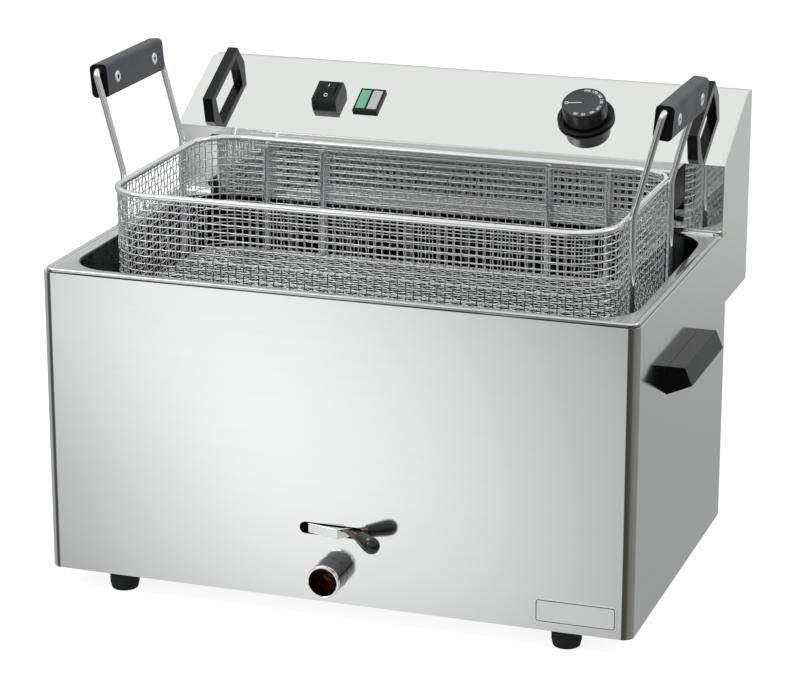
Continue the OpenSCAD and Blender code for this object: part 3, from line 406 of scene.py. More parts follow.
def new_node(tree, kind, *values, settings=None, **named):
    """Adds a node. Values go to its inputs in order or by name; a socket is linked."""
    node = tree.nodes.new(kind)
    for key, value in (settings or {}).items():
        setattr(node, key, value)
    sockets = list(zip(node.inputs, values))
    sockets += [(node.inputs[key.replace("_", " ")], value) for key, value in named.items()]
    for socket, value in sockets:
        if isinstance(value, NodeSocket):
            tree.links.new(value, socket)
        elif value is not None:
            socket.default_value = value
    return node


def add(*values, **named):
    """Adds a node, and gives its outputs."""
    return new_node(*values, **named).outputs


def maths(tree, operation, *values):
    """The result of one sum."""
    return add(tree, "ShaderNodeMath", *values, settings={"operation": operation})[0]


def span(tree, value, start, end, low=0.0, high=1.0, soft=False):
    """A value carried from one range into another."""
    kind = "SMOOTHSTEP" if soft else "LINEAR"
    return add(tree, "ShaderNodeMapRange", value, start, end, low, high,
               settings={"interpolation_type": kind})[0]


def mixed(tree, factor, first, second):
    """A colour between two, by a factor that changes over the surface."""
    node = new_node(tree, "ShaderNodeMix", factor, settings={"data_type": "RGBA"})
    for socket, value in ((node.inputs[6], first), (node.inputs[7], second)):
        if isinstance(value, NodeSocket):
            tree.links.new(value, socket)
        else:
            socket.default_value = (*value, 1.0)
    return node.outputs[2]


def fade(tree, value, start, end, first, second):
    """Goes over from one value to another while a third passes from start to end."""
    share = span(tree, value, start, end, soft=True)
    return add(tree, "ShaderNodeMix", share, None, first, second)[0]


def ramp(tree, value, stops):
    """A grey that follows stops, each of them (place, grey)."""
    node = new_node(tree, "ShaderNodeValToRGB", value)
    node.color_ramp.interpolation = "B_SPLINE"
    points = node.color_ramp.elements
    while len(points) < len(stops):
        points.new(1.0)
    for stop, (place, grey) in zip(points, stops):
        stop.position = place
        stop.color = (grey, grey, grey, 1.0)
    return node.outputs[0]


def bumped(tree, strength, distance, height):
    return add(tree, "ShaderNodeBump", Strength=strength, Distance=distance * MM, Height=height)[0]


def group_start(name, setting, setting_kind, *gives):
    """A new node group that takes a place and one setting, with its sockets."""
    tree = bpy.data.node_groups.new(name, "ShaderNodeTree")
    for socket, kind in (("Vector", "NodeSocketVector"), (setting, setting_kind)):
        tree.interface.new_socket(name=socket, in_out="INPUT", socket_type=kind)
    for socket in gives:
        tree.interface.new_socket(name=socket, in_out="OUTPUT", socket_type="NodeSocketFloat")
    return tree, tree.nodes.new("NodeGroupInput").outputs, tree.nodes.new("NodeGroupOutput").inputs


def drawn_grain(name):
    """Fine lines left by the rolls and the belt, drawn out along the sheet."""
    tree, takes, gives = group_start(name, "Stretch", "NodeSocketVector", "Shade", "Height")
    times = {"operation": "MULTIPLY"}
    fine = add(tree, "ShaderNodeVectorMath", takes["Vector"], takes["Stretch"], settings=times)[0]
    broad = add(tree, "ShaderNodeVectorMath", fine, (0.17, 0.17, 0.17), settings=times)[0]
    lines = add(tree, "ShaderNodeTexNoise", Vector=fine, Scale=1.0, Detail=3.0, Roughness=0.6)[0]
    bands = add(tree, "ShaderNodeTexNoise", Vector=broad, Scale=1.0, Detail=2.0, Roughness=0.5)[0]
    both = maths(tree, "MULTIPLY_ADD", bands, 0.4, maths(tree, "MULTIPLY", lines, 0.6))
    tree.links.new(both, gives["Shade"])
    tree.links.new(lines, gives["Height"])
    return tree


def handling_marks(name):
    """Broad soft patches where hands and cloths have wiped the surface."""
    tree, takes, gives = group_start(name, "Size", "NodeSocketFloat", "Mask")
    noise = add(tree, "ShaderNodeTexNoise", Vector=takes["Vector"], Scale=takes["Size"],
                Detail=4.0, Roughness=0.55, Distortion=0.6)
    tree.links.new(span(tree, noise[0], 0.35, 0.7, soft=True), gives["Mask"])
    return tree


def moulded_grain(name):
    """Fine pebbled grain of a moulded surface, with slow changes of shade."""
    tree, takes, gives = group_start(name, "Fineness", "NodeSocketFloat", "Shade", "Height")
    pebbles = add(tree, "ShaderNodeTexVoronoi", Vector=takes["Vector"], Scale=takes["Fineness"],
                  settings={"feature": "SMOOTH_F1"})
    slow = add(tree, "ShaderNodeTexNoise", Vector=takes["Vector"], Scale=60.0, Detail=5.0)
    tree.links.new(pebbles["Distance"], gives["Height"])
    tree.links.new(slow[0], gives["Shade"])
    return tree


def grouped(tree, make, **named):
    """Adds a node group, which is made at its first use."""
    name = make.__name__
    group = bpy.data.node_groups[name] if name in bpy.data.node_groups else make(name)
    return add(tree, "ShaderNodeGroup", settings={"node_tree": group}, **named)


# Finishes

def empty_tree(holder):
    """The node tree of a new material or world, without its first nodes."""
    holder.use_nodes = True
    holder.node_tree.nodes.clear()
    return holder.node_tree


def blank_material():
    """A new material and its tree, with the shader's inputs and the place on the object."""
    material = bpy.data.materials.new("finish")
    tree = empty_tree(material)
    shader = new_node(tree, "ShaderNodeBsdfPrincipled")
    add(tree, "ShaderNodeOutputMaterial", Surface=shader.outputs[0])
    return material, tree, shader.inputs, add(tree, "ShaderNodeTexCoord")["Object"]


def surface(tree, shader, base, rough, normal, **constants):
    """Links what changes over the surface to the shader, and sets what doesn't."""
    for socket, value in (("Base Color", base), ("Roughness", rough), ("Normal", normal)):
        tree.links.new(value, shader[socket])
    for socket, value in constants.items():
        shader[socket.replace("_", " ")].default_value = value


def metal(tone, rough, stretch, streak=0.06, spread=0.05, bump=0.05, wiped=9.0, metallic=1.0):
    """Steel or another metal with drawn lines and wiped patches."""
    material, tree, shader, place = blank_material()
    grain = grouped(tree, drawn_grain, Vector=place, Stretch=stretch)
    marks = grouped(tree, handling_marks, Vector=place, Size=wiped)
    dark = tuple(c * (1 - streak) for c in tone)
    base = mixed(tree, span(tree, grain["Shade"], *NOISE_RANGE), dark, tone)
    worn = maths(tree, "ADD", grain["Shade"], marks["Mask"])
    surface(tree, shader, base, span(tree, worn, 0.2, 1.6, rough - spread, rough + spread),
            bumped(tree, bump, 0.02, grain["Height"]), Metallic=metallic)
    return material


def tank_metal(deck, well, rough):
    """Bright deck, and a near-black well of painted shade that darkens further below its lip, in soft
    patches.
    """
    material, tree, shader, place = blank_material()
    grain = grouped(tree, drawn_grain, Vector=place, Stretch=(9.0, 900.0, 900.0))
    marks = grouped(tree, handling_marks, Vector=place, Size=14.0)
    height = add(tree, "ShaderNodeSeparateXYZ", place)["Z"]
    blurred = maths(tree, "MULTIPLY_ADD", marks["Mask"], 0.3 * MM, height)
    # Heights between which the well goes over to the deck, and between which its painted shade darkens
    # downwards
    to_deck, to_dark = (301.2 * MM, 302.6 * MM), (285.0 * MM, 298.0 * MM)
    up = span(tree, blurred, *to_deck, soft=True)
    # Painted shade: the well is darker towards the bottom of the tank
    lip = span(tree, height, *to_dark, 0.25, 1.0, soft=True)
    shaded = maths(tree, "MULTIPLY", marks["Mask"], lip)
    shaded_well = mixed(tree, shaded, tuple(c * 0.25 for c in well), well)
    bright = mixed(tree, span(tree, grain["Shade"], *NOISE_RANGE), tuple(c * 0.95 for c in deck), deck)
    surface(tree, shader, mixed(tree, up, shaded_well, bright), span(tree, up, 0.0, 1.0, 0.17, rough),
            bumped(tree, 0.05, 0.02, grain["Height"]), Metallic=1.0)
    return material


def moulded(tone, rough, fineness=2600.0, bump=0.12, lighter=1.35, specular=0.5):
    """A moulded plastic or rubber with a fine grain."""
    material, tree, shader, place = blank_material()
    grain = grouped(tree, moulded_grain, Vector=place, Fineness=fineness)
    marks = grouped(tree, handling_marks, Vector=place, Size=30.0)
    light = tuple(min(c * lighter, 1.0) for c in tone)
    surface(tree, shader, mixed(tree, span(tree, grain["Shade"], *NOISE_RANGE), tone, light),
            span(tree, marks["Mask"], 0.0, 1.0, rough, rough * 1.2),
            bumped(tree, bump, 0.03, grain["Height"]), Specular_IOR_Level=specular)
    return material


def ribbed_lens(tone, deep):
    """A lamp's lens: tinted plastic with a fine prism pattern."""
    material, tree, shader, place = blank_material()
    turn = add(tree, "ShaderNodeMapping", Vector=place, Rotation=(-PANEL_SLOPE, 0.0, 0.0))[0]
    prisms = add(tree, "ShaderNodeTexVoronoi", Vector=turn, Scale=520.0)["Distance"]
    surface(tree, shader, mixed(tree, span(tree, prisms, *NOISE_RANGE), tone, deep),
            span(tree, prisms, 0.0, 1.0, 0.16, 0.3), bumped(tree, 0.25, 0.08, prisms),
            Coat_Weight=0.6, Coat_Roughness=0.05)
    return material


def finish(slot):
    """The material of one of the record's slots, or of some faces of a piece, made once."""
    name = slot + "_finish"
    if name in bpy.data.materials:
        return bpy.data.materials[name]
    steel, plastic = bpy.context.scene.fryer_steel, bpy.context.scene.fryer_plastic
    # How the drawn lines run: across the sheet, level round it, or alike in all directions
    across, level, even = (9.0, 1300.0, 1300.0), (9.0, 9.0, 1300.0), (300.0, 300.0, 300.0)
    makers = {
        "brushed_sheet": lambda: metal(steel.sheet, 0.11, level, streak=0.03, spread=0.02, bump=0.03),
        "tank_sheet": lambda: tank_metal(steel.deck, steel.well, 0.13),
        "polished_sheet": lambda: metal(
            steel.polished, 0.045, across, streak=0.02, spread=0.015, bump=0.01),
        "bright_wire": lambda: metal(
            steel.wire, 0.13, even, streak=0.10, spread=0.04, bump=0.03, wiped=40.0, metallic=0.88),
        "fastener_steel": lambda: metal((0.66, 0.66, 0.66), 0.26, (700.0, 700.0, 90.0), streak=0.15),
        "black_plastic": lambda: moulded(plastic.black, 0.22, bump=0.08, specular=0.27),
        "black_gloss": lambda: moulded(plastic.black, 0.10, bump=0.02),
        "grip_charcoal": lambda: moulded(plastic.charcoal, 0.42, 2000.0),
        "foot_rubber": lambda: moulded(plastic.rubber, 0.62, 1500.0, 0.3, specular=0.3),
        "plate_metal": lambda: metal(
            (0.97, 0.975, 0.985), 0.45, across, streak=0.02, bump=0.01, metallic=0.25),
        "valve_brass": lambda: metal((0.70, 0.52, 0.27), 0.30, (600.0, 80.0, 600.0), streak=0.18),
        "lever_bronze": lambda: metal((0.16, 0.12, 0.08), 0.30, (400.0, 400.0, 120.0), streak=0.35),
        "seat_white": lambda: moulded((0.78, 0.78, 0.77), 0.5, lighter=1.08),
        "lens_green_plastic": lambda: ribbed_lens(plastic.green, (0.08, 0.40, 0.24)),
        "lens_clear_plastic": lambda: ribbed_lens(plastic.clear, (0.46, 0.46, 0.48)),
        "heater_tube": lambda: metal((0.22, 0.21, 0.20), 0.38, even, streak=0.3),
        "reset_red": lambda: moulded((0.45, 0.03, 0.025), 0.3),
        # White print of the dial and the switch
        "printed_marks": lambda: moulded(plastic.marks, 0.5, lighter=1.1),
        # Bright plated heads of the grips' rivets
        "rivet_plating": lambda: metal(
            (0.97, 0.97, 0.97), 0.28, (600.0, 600.0, 600.0), streak=0.05, metallic=0.55),
        # Dark cut ends of the grips, and painted shade in the hollows of the rivets
        "grip_end": lambda: moulded((0.004, 0.0042, 0.0048), 0.45, specular=0.12),
        # Painted shade in the groove pressed along the plate's border and on its rounded edge
        "plate_border": lambda: moulded((0.10, 0.10, 0.105), 0.5),
        # Dull grey face of the knob's dial
        "dial_face": lambda: moulded((0.062, 0.066, 0.070), 0.55, lighter=1.15, specular=0.25),
        # Dark outlet behind the bright ring at its mouth
        "outlet_chrome": lambda: metal(
            (0.10, 0.10, 0.105), 0.12, (300.0, 40.0, 300.0), streak=0.3, spread=0.03),
        # Dark brown metal inside the drain, darkened as painted shade; the valve ball seen through the outlet
        # gets it too
        "drain_bore": lambda: metal(
            (0.15, 0.065, 0.028), 0.20, (200.0, 60.0, 200.0), streak=0.7, spread=0.08),
    }
    material = makers[slot]()
    material.name = name
    return material


# Pieces

class FRYER_OT_finishes(Operator):
    """Give each part of the frame the finish of its slot; the valve ball gets the dark bore finish as painted
    shade
    """
    bl_idname = "fryer.finishes"
    bl_label = "Finishes"

    def execute(self, context):
        for node, piece in frame["nodes"].items():
            piece.data.materials.clear()
            # The valve ball, seen through the outlet, is darkened as painted shade
            piece.data.materials.append(finish("drain_bore" if node == "valve_ball" else SLOT_OF[node]))
        return {"FINISHED"}


class FRYER_OT_sheets(Operator):
    """Round the cut edges of the folded sheets"""
    bl_idname = "fryer.sheets"
    bl_label = "Folded sheets"

    def execute(self, context):
        edge = context.scene.fryer_steel.edge
        for node in ("casing_wrap", "rear_panel", "control_panel", "head_front_plate", "head_tray",
                     "head_back_cover", "head_side_left", "head_side_right", "head_brackets"):
            dress(node, edge)
        shelf = dress("hanger_shelf", edge)
        # The shelf's end cheeks get the black finish as painted shade
        second_finish(shelf, "black_plastic", lambda face: abs(face.normal.x) > 0.9)
        return {"FINISHED"}


class FRYER_OT_tank(Operator):
    """Draw the tank from one sheet, with a rolled hem, a round lip and a round bottom"""
    bl_idname = "fryer.tank"
    bl_label = "Tank"

    # Half width, front, back, corner radius and height of each ring, from the hem to the floor
    rings = [
        (273.0, 2.0, 313.0, 9.0, 301.0), (273.0, 2.0, 313.0, 9.0, 303.3),
        (272.6, 2.4, 312.6, 8.6, 304.1), (271.8, 3.2, 311.8, 7.8, 304.5),
        (270.0, 5.0, 310.2, 6.0, 304.5), (269.1, 5.9, 309.4, 5.1, 304.1),
        (268.6, 6.4, 308.9, 4.6, 303.2), (268.0, 7.0, 308.7, 4.2, 302.7),
        (266.8, 8.2, 308.6, 4.0, 302.5), (262.5, 16.0, 308.5, 42.0, 302.5),
        (260.3, 18.2, 308.35, 41.3, 301.8), (258.9, 19.6, 308.1, 40.4, 300.2),
        (258.5, 20.0, 308.0, 40.0, 298.0), (258.5, 20.0, 308.0, 40.0, 119.5),
        (256.6, 21.9, 306.1, 38.1, 112.5), (251.5, 27.0, 301.0, 33.0, 107.4),
        (244.5, 34.0, 294.0, 26.0, 105.5),
    ]
    drain_radius, drain_depth = 8.0, 20.0
    sheet = 1.5

    def execute(self, context):
        loops = [rounded_loop(*ring) for ring in self.rings]
        count = len(loops[0])
        mesh = bpy.data.meshes.new("drawn_tank")
        mesh.from_pydata(loops[0], [(i, (i + 1) % count) for i in range(count)], [])
        piece = linked("drawn_tank", mesh)
        with editing(piece):
            choose("EDGE", "SELECT")
            shape = bmesh.from_edit_mesh(mesh)
            station = shape.verts.layers.int.new("station")
            for i, vert in enumerate(shape.verts):
                vert[station] = i
            for loop in loops[1:]:
                bpy.ops.mesh.extrude_edges_move()
                shape = bmesh.from_edit_mesh(mesh)
                station = shape.verts.layers.int["station"]
                for vert in shape.verts:
                    if vert.select:
                        vert.co = loop[vert[station]]
                bmesh.update_edit_mesh(mesh)
            bpy.ops.mesh.edge_face_add()
            face_outwards()
        mesh.attributes.remove(mesh.attributes["station"])
        floor = max(mesh.polygons, key=lambda face: len(face.vertices))
        if floor.normal.z < 0:
            with editing(piece):
                bpy.ops.mesh.flip_normals()
        apply_modifier(piece, "SOLIDIFY", thickness=self.sheet * MM, offset=-1.0)
        low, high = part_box("drain_spud")
        drill = made(bpy.ops.mesh.primitive_cylinder_add, vertices=32, radius=self.drain_radius * MM,
                     depth=self.drain_depth * MM, location=(0, (low.y + high.y) / 2, high.z))
        apply_modifier(piece, "BOOLEAN", operation="DIFFERENCE", object=drill, solver="EXACT")
        bpy.data.objects.remove(drill)
        smooth_flat(piece, 40.0)
        finished(piece, "tank_sheet", "casing", "tank")
        return {"FINISHED"}


class FRYER_OT_handles(Operator):
    """Round the moulded edges of the carrying handles, the switch, the lamp and the feet"""
    bl_idname = "fryer.handles"
    bl_label = "Handles and fittings"

    def execute(self, context):
        edge = context.scene.fryer_plastic.edge
        for node, share in (("side_handle_left", 1.0), ("side_handle_right", 1.0),
                            ("panel_handle_left", 1.4), ("panel_handle_right", 1.4),
                            ("switch_housing", 0.6), ("rocker", 0.7), ("indicator_frame", 0.6),
                            ("lens_green", 0.7), ("lens_clear", 0.7), ("feet", 1.2)):
            dress(node, edge * share, 3)
        return {"FINISHED"}


class FRYER_OT_switch_marks(Operator):
    """Print the on and off marks on the rocker"""
    bl_idname = "fryer.switch_marks"
    bl_label = "Switch marks"

    # The rocker's tilt, its pivot over the panel, half its height and the rise of its two faces
    tilt, pivot, half, rise = 7.0, 8.5, 11.6, 2.0

    def execute(self, context):
        rocker = on_panel(SWITCH_X, 0.0, self.pivot) @ spun(self.tilt, "X")
        slope = math.degrees(math.atan2(self.rise, self.half))
        low_face = rocker @ moved(0, -self.half / 2, 3.0) @ spun(slope, "X")
        high_face = rocker @ moved(0, self.half * 0.6, 2.85) @ spun(-slope, "X")
        marks = printed([printed_ring(low_face, 1.7, 0.33), printed_bar(high_face, 0.7, 3.6, 0.2)],
                        "switch_marks", BODY_OF["rocker"])
        smooth(marks, 40.0)
        return {"FINISHED"}


class FRYER_OT_knob(Operator):
    """Turn the thermostat knob and print its dial"""
    bl_idname = "fryer.knob"
    bl_label = "Knob"

    # Directions of the figures and the pointer on the dial, in degrees from the right
    figure_turns = (-104.0, -78.0, -49.0, -20.0, 12.0, 40.0, 66.0, 93.0)
    pointer_turn = 187.0
    # Distance of the figures from the cap's edge, and their thickness and boldness
    figure_in, figure_thick, figure_bold = 4.8, 0.03, 0.08

    def figure(self, value, size):
        text = made(bpy.ops.object.text_add).data
        text.body, text.size = str(value), size
        text.align_x, text.align_y = "CENTER", "CENTER"
        text.extrude, text.offset = self.figure_thick * MM, self.figure_bold * MM
        bpy.ops.object.convert(target="MESH")
        return bpy.context.object

    def execute(self, context):
        size = context.scene.fryer_knob
        cap, skirt, top = size.cap / MM, size.skirt / MM, size.height / MM
        outline = [(3.0, -19.0), (3.0, 1.0), (skirt - 0.6, 1.0), (skirt, 1.6), (skirt, 2.9),
                   (skirt - 0.35, 3.6), (skirt - 1.1, 4.0), (skirt - 3.2, 4.0), (skirt - 3.8, 3.7),
                   (skirt - 4.2, 2.6), (cap + 0.3, 2.4), (cap + 0.05, 2.8), (cap - 0.3, top - 1.2),
                   (cap - 0.55, top - 0.5), (cap - 1.1, top - 0.1), (cap - 1.7, top),
                   (cap - 2.1, top - 0.15), (0.0, top - 0.15)]
        knob = turned("thermostat_knob_turned", outline, 72)
        settle(knob, on_panel(KNOB_X))
        smooth(knob, 35.0)
        finished(knob, "black_plastic", "knob", "thermostat_knob")
        facing = on_panel(KNOB_X).to_3x3() @ Vector((0, 0, 1))
        below = on_panel(KNOB_X, 0.0, top - 0.5).translation
        second_finish(knob, "dial_face", lambda face: face.normal.dot(facing) > 0.95
                      and (face.center - below).dot(facing) > 0)
        dial = on_panel(KNOB_X, 0.0, top - 0.13)
        pieces = []
        for i, turn in enumerate(self.figure_turns):
            place = dial @ spun(turn, "Z") @ moved(cap - self.figure_in) @ spun(-90.0, "Z")
            pieces.append(settle(self.figure(size.first + i * size.step, size.figure), place))
        across = dial @ spun(self.pointer_turn, "Z")
        pieces.append(printed_bar(across @ moved(8.6), 13.0, 0.9, 0.1))
        pieces.append(printed_ring(across @ moved(16.6), 1.5, 0.4))
        printed(pieces, "dial_marks", "knob")
        return {"FINISHED"}


class FRYER_OT_drain(Operator):
    """Turn the drain outlet and the lever's grip, and round the lever"""
    bl_idname = "fryer.drain"
    bl_label = "Drain"

    # Radius and distance from the casing's front of the outlet's outline, from its back to its bore
    outlet = [(14.0, 4.0), (14.0, 0.4), (15.2, 0.2), (15.2, -0.6), (14.9, -1.0), (14.9, -18.4),
              (14.4, -18.9), (14.4, -19.6), (15.0, -20.1), (15.0, -23.2), (14.7, -23.8), (14.2, -24.0),
              (13.5, -24.0), (13.1, -23.7), (13.0, -23.0), (13.0, -1.0), (8.0, -1.0), (8.0, 4.0)]
    # Radius and distance from the stem of the grip's outline
    grip = [(5.0, 43.0), (5.5, 43.3), (5.75, 44.2), (6.0, 47.0), (6.5, 52.0), (7.0, 57.0), (7.35, 61.0),
            (7.5, 64.5), (7.35, 66.6), (6.8, 68.3), (5.9, 69.8), (4.6, 71.1), (3.0, 72.0), (1.5, 72.4),
            (0.0, 72.5)]
    stem = (0.0, 22.0, 88.5)
    lever_turn = -45.0
    outlet_height = 48.0
    # Faces nearer the outlet's middle line are its bore; further out and back they are dark chrome
    bore, outside, chrome_end = 13.06, 13.9, 19.0

    def off_line(self, face):
        """Distance of a face from the outlet's middle line, in millimetres."""
        return math.hypot(face.center.x / MM, face.center.z / MM - self.outlet_height)

    def execute(self, context):
        tube = turned("drain_outlet_turned", [(r, -y) for r, y in self.outlet], 72)
        with editing(tube):
            pick(tube, "faces", lambda f: len(f.verts) > 8)
            bpy.ops.mesh.delete(type="ONLY_FACE")
            choose("EDGE", "DESELECT")
            bpy.ops.mesh.select_non_manifold()
            bpy.ops.mesh.bridge_edge_loops()
            face_outwards()
        settle(tube, Matrix.Translation(front_mm(0, 0, self.outlet_height)) @ spun(90.0, "X"))
        smooth(tube, 30.0)
        finished(tube, "polished_sheet", "casing", "drain_outlet")
        # The bore gets painted shade
        second_finish(tube, "drain_bore", lambda face: face.center.y < FRONT
                      and self.off_line(face) < self.bore)
        second_finish(tube, "outlet_chrome", lambda face: face.center.y > FRONT - self.chrome_end * MM
                      and self.off_line(face) > self.outside)
        grip = turned("lever_grip_turned", self.grip, 40)
        along = Matrix.Translation(front_mm(*self.stem)) @ spun(self.lever_turn, "Z")
        settle(grip, along @ spun(90.0, "Y"))
        smooth(grip, 50.0)
        finished(grip, "black_gloss", "drain_valve", "lever_grip")
        dress("lever_hub", 0.7 * MM, 3)
        dress("drain_lever", 1.2 * MM, 3)
        dress("lever_nut", 0.4 * MM, 2)
        return {"FINISHED"}


class FRYER_OT_blank_plate(Operator):
    """Press a border into the plain plate on the front"""
    bl_idname = "fryer.blank_plate"
    bl_label = "Blank plate"

    corner, margin = 3.2, 0.9
    groove_half, groove_depth = 0.4, 0.2

    def execute(self, context):
        plate = copy_of_node("blank_plate", "blank_plate_pressed")
        with editing(plate):
            pick(plate, "edges", lambda e: abs((e.verts[0].co - e.verts[1].co).y) > 0.5 * MM)
            bpy.ops.mesh.bevel(offset=self.corner * MM, segments=6, affect="EDGES")
            pick(plate, "faces", lambda f: f.normal.y < -0.9)
            bpy.ops.mesh.inset(thickness=self.margin * MM, depth=0)
            for way in (-1, 1):
                bpy.ops.mesh.inset(thickness=self.groove_half * MM, depth=way * self.groove_depth * MM)
        soften(plate, 0.12 * MM, 2, 40.0)
        finished(plate, "plate_metal", "casing", "blank_plate")
        low = min(v.co.y for v in plate.data.vertices) + 0.02 * MM
        # The groove and the rounded edge of the plate's face get painted shade
        second_finish(plate, "plate_border", lambda face: face.normal.y < -0.2 and face.center.y > low)
        return {"FINISHED"}


class FRYER_OT_net(Operator):
    """Weave the basket's walls and floor from fine wire"""
    bl_idname = "fryer.net"
    bl_label = "Basket net"

    middle_y = 169.0
    wall_low, wall_high = 256.2, 363.0
    floor_height = 256.0

    def outline(self, half_x, half_y, r, pitch):
        """Points at even steps round the walls, each with its direction outwards."""
        straight_x, straight_y, arc = 2 * (half_x - r), 2 * (half_y - r), math.pi / 2 * r
        total = 2 * (straight_x + straight_y) + 4 * arc
        count = 2 * round(total / pitch / 2)
        # Each straight run, and the middle and first direction of the corner after it
        runs = ((straight_x, half_x - r, -half_y + r, -90), (straight_y, half_x - r, half_y - r, 0),
                (straight_x, -half_x + r, half_y - r, 90), (straight_y, -half_x + r, -half_y + r, 180))
        places = []
        for i in range(count):
            s = total * i / count
            for run, cx, cy, start in runs:
                if s < run + arc:
                    a = math.radians(start) + max(s - run, 0.0) / r
                    out = Vector((math.cos(a), math.sin(a), 0))
                    along = Vector((-out.y, out.x, 0)) * min(s - run, 0.0)
                    places.append((Vector((cx, cy, 0)) + out * r + along, out))
                    break
                s -= run + arc
        return places

    def spot(self, place, out, offset, z):
        p = place + out * offset
        return front_mm(p.x, self.middle_y + p.y, z)

    def execute(self, context):
        size = context.scene.fryer_basket
        pitch, weave = size.pitch / MM, size.wire / 2 / MM * 0.9
        half_x, half_y, r = size.width / 2 / MM, size.depth / 2 / MM, size.corner / MM
        places = self.outline(half_x, half_y, r, pitch)
        tall = self.wall_high - self.wall_low
        rows = round(tall / pitch)
        heights = [self.wall_low + (j + 0.5) * tall / rows for j in range(rows)]
        lines = []
        for i, (place, out) in enumerate(places):
            column = [self.spot(place, out, 0, self.wall_low)]
            column += [self.spot(place, out, weave * (-1) ** (i + j), z) for j, z in enumerate(heights)]
            column.append(self.spot(place, out, 0, self.wall_high))
            lines.append((column, False))
        for j, z in enumerate(heights):
            lines.append(([self.spot(place, out, -weave * (-1) ** (i + j), z)
                           for i, (place, out) in enumerate(places)], True))
        finished(wires("basket_net_walls", lines, size.wire), "bright_wire", "basket",
                 "basket_long_nets", "basket_end_nets", "basket_corner_nets")

        nx, ny = 2 * round(half_x / pitch), 2 * round(half_y / pitch)
        xs = [-half_x + (i + 0.5) * 2 * half_x / nx for i in range(nx)]
        ys = [-half_y + (j + 0.5) * 2 * half_y / ny for j in range(ny)]

        def reach(across, half_along, half_across):
            """How far a floor wire runs before it meets the round corner."""
            into = max(abs(across) - (half_across - r), 0.0)
            return half_along - r + math.sqrt(max(r * r - into * into, 0.0))

        def floor_spot(x, y, lift=0.0):
            return front_mm(x, self.middle_y + y, self.floor_height + lift)

        lines = []
        for i, x in enumerate(xs):
            end = reach(x, half_y, half_x)
            row = [floor_spot(x, y, weave * (-1) ** (i + j)) for j, y in enumerate(ys) if abs(y) < end - 1]
            lines.append(([floor_spot(x, -end), *row, floor_spot(x, end)], False))
        for j, y in enumerate(ys):
            end = reach(y, half_x, half_y)
            row = [floor_spot(x, y, -weave * (-1) ** (i + j)) for i, x in enumerate(xs) if abs(x) < end - 1]
            lines.append(([floor_spot(-end, y), *row, floor_spot(end, y)], False))
        lines.append(([self.spot(place, out, 0, self.floor_height) for place, out in places], True))
        finished(wires("basket_net_floor", lines, size.wire), "bright_wire", "basket", "basket_floor_net")
        return {"FINISHED"}


class FRYER_OT_basket_rods(Operator):
    """Smooth the basket's rods, the hairpins and the bulb, and round the grips"""
    bl_idname = "fryer.basket_rods"
    bl_label = "Basket rods and grips"

    def execute(self, context):
        for node in ("basket_rim", "basket_base_wires", "basket_handle_rods", "heating_elements",
                     "thermostat_bulb"):
            dress(node, 0)
        grips = dress("basket_grips", 1.1 * MM, 3, 50.0)
        second_finish(grips, "grip_end", lambda face: abs(face.normal.y) > 0.95)
        return {"FINISHED"}


class FRYER_OT_rivets(Operator):
    """Turn a hollow rivet and set a pair through each grip"""
    bl_idname = "fryer.rivets"
    bl_label = "Grip rivets"

    # Radius and distance from the middle of the grip of half a rivet's outline
    half = [(2.1, 6.0), (2.1, 9.0), (2.3, 9.4), (2.9, 9.65), (3.8, 9.6), (4.8, 9.35), (5.3, 9.0),
            (5.5, 8.7), (5.5, 8.5), (2.5, 8.4)]
    # Radius within which the rivet's hollow gets painted shade
    hollow = 2.15
    # Middle of the right grip, its lean and half the distance between its rivets
    middle = (263.735, 177.0, 451.905)
    lean, span = 5.0, 42.0

    def execute(self, context):
        rivet = turned("rivet", self.half + [(r, -z) for r, z in reversed(self.half)], 28)
        smooth(rivet, 35.0)
        rivet.data.materials.append(finish("rivet_plating"))
        # The rivet's hollow gets painted shade
        second_finish(rivet, "grip_end",
                      lambda face: math.hypot(face.center.x, face.center.y) < self.hollow * MM)
        twins = []
        for side in (-1, 1):
            grip = Matrix.Translation(front_mm(side * self.middle[0], *self.middle[1:]))
            grip = grip @ spun(side * self.lean, "Y")
            for s in (-1, 1):
                twin = linked("rivet", rivet.data.copy())
                twins.append(settle(twin, grip @ moved(0, s * self.span) @ spun(90.0, "Y")))
        bpy.data.objects.remove(rivet)
        piece = join(twins, "grip_rivets_turned")
        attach(piece, "basket")
        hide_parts("grip_rivets")
        return {"FINISHED"}


# Stage

# The painted bright sheet on the floor that metal mirrors as painted reflection: the lean and start of its
# middle line, half its width, its strength
SHEET_LEAN, SHEET_START, SHEET_HALF, SHEET_GAIN = 0.475, 0.114, 0.8, 1.12
# Angles at the right bend over which the painted sheet ends ahead of it, and the painted grey behind it
# starts
RIGHT_AHEAD, RIGHT_BEHIND = (-1.75, -1.66), (0.75, 1.05)


def bend_angle(tree, across, ahead, side):
    """The angle round the foot of a front bend: nought beside it, less ahead and more behind."""
    return maths(tree, "ARCTAN2", ahead, maths(tree, "MULTIPLY_ADD", across, side, -BEND_X))


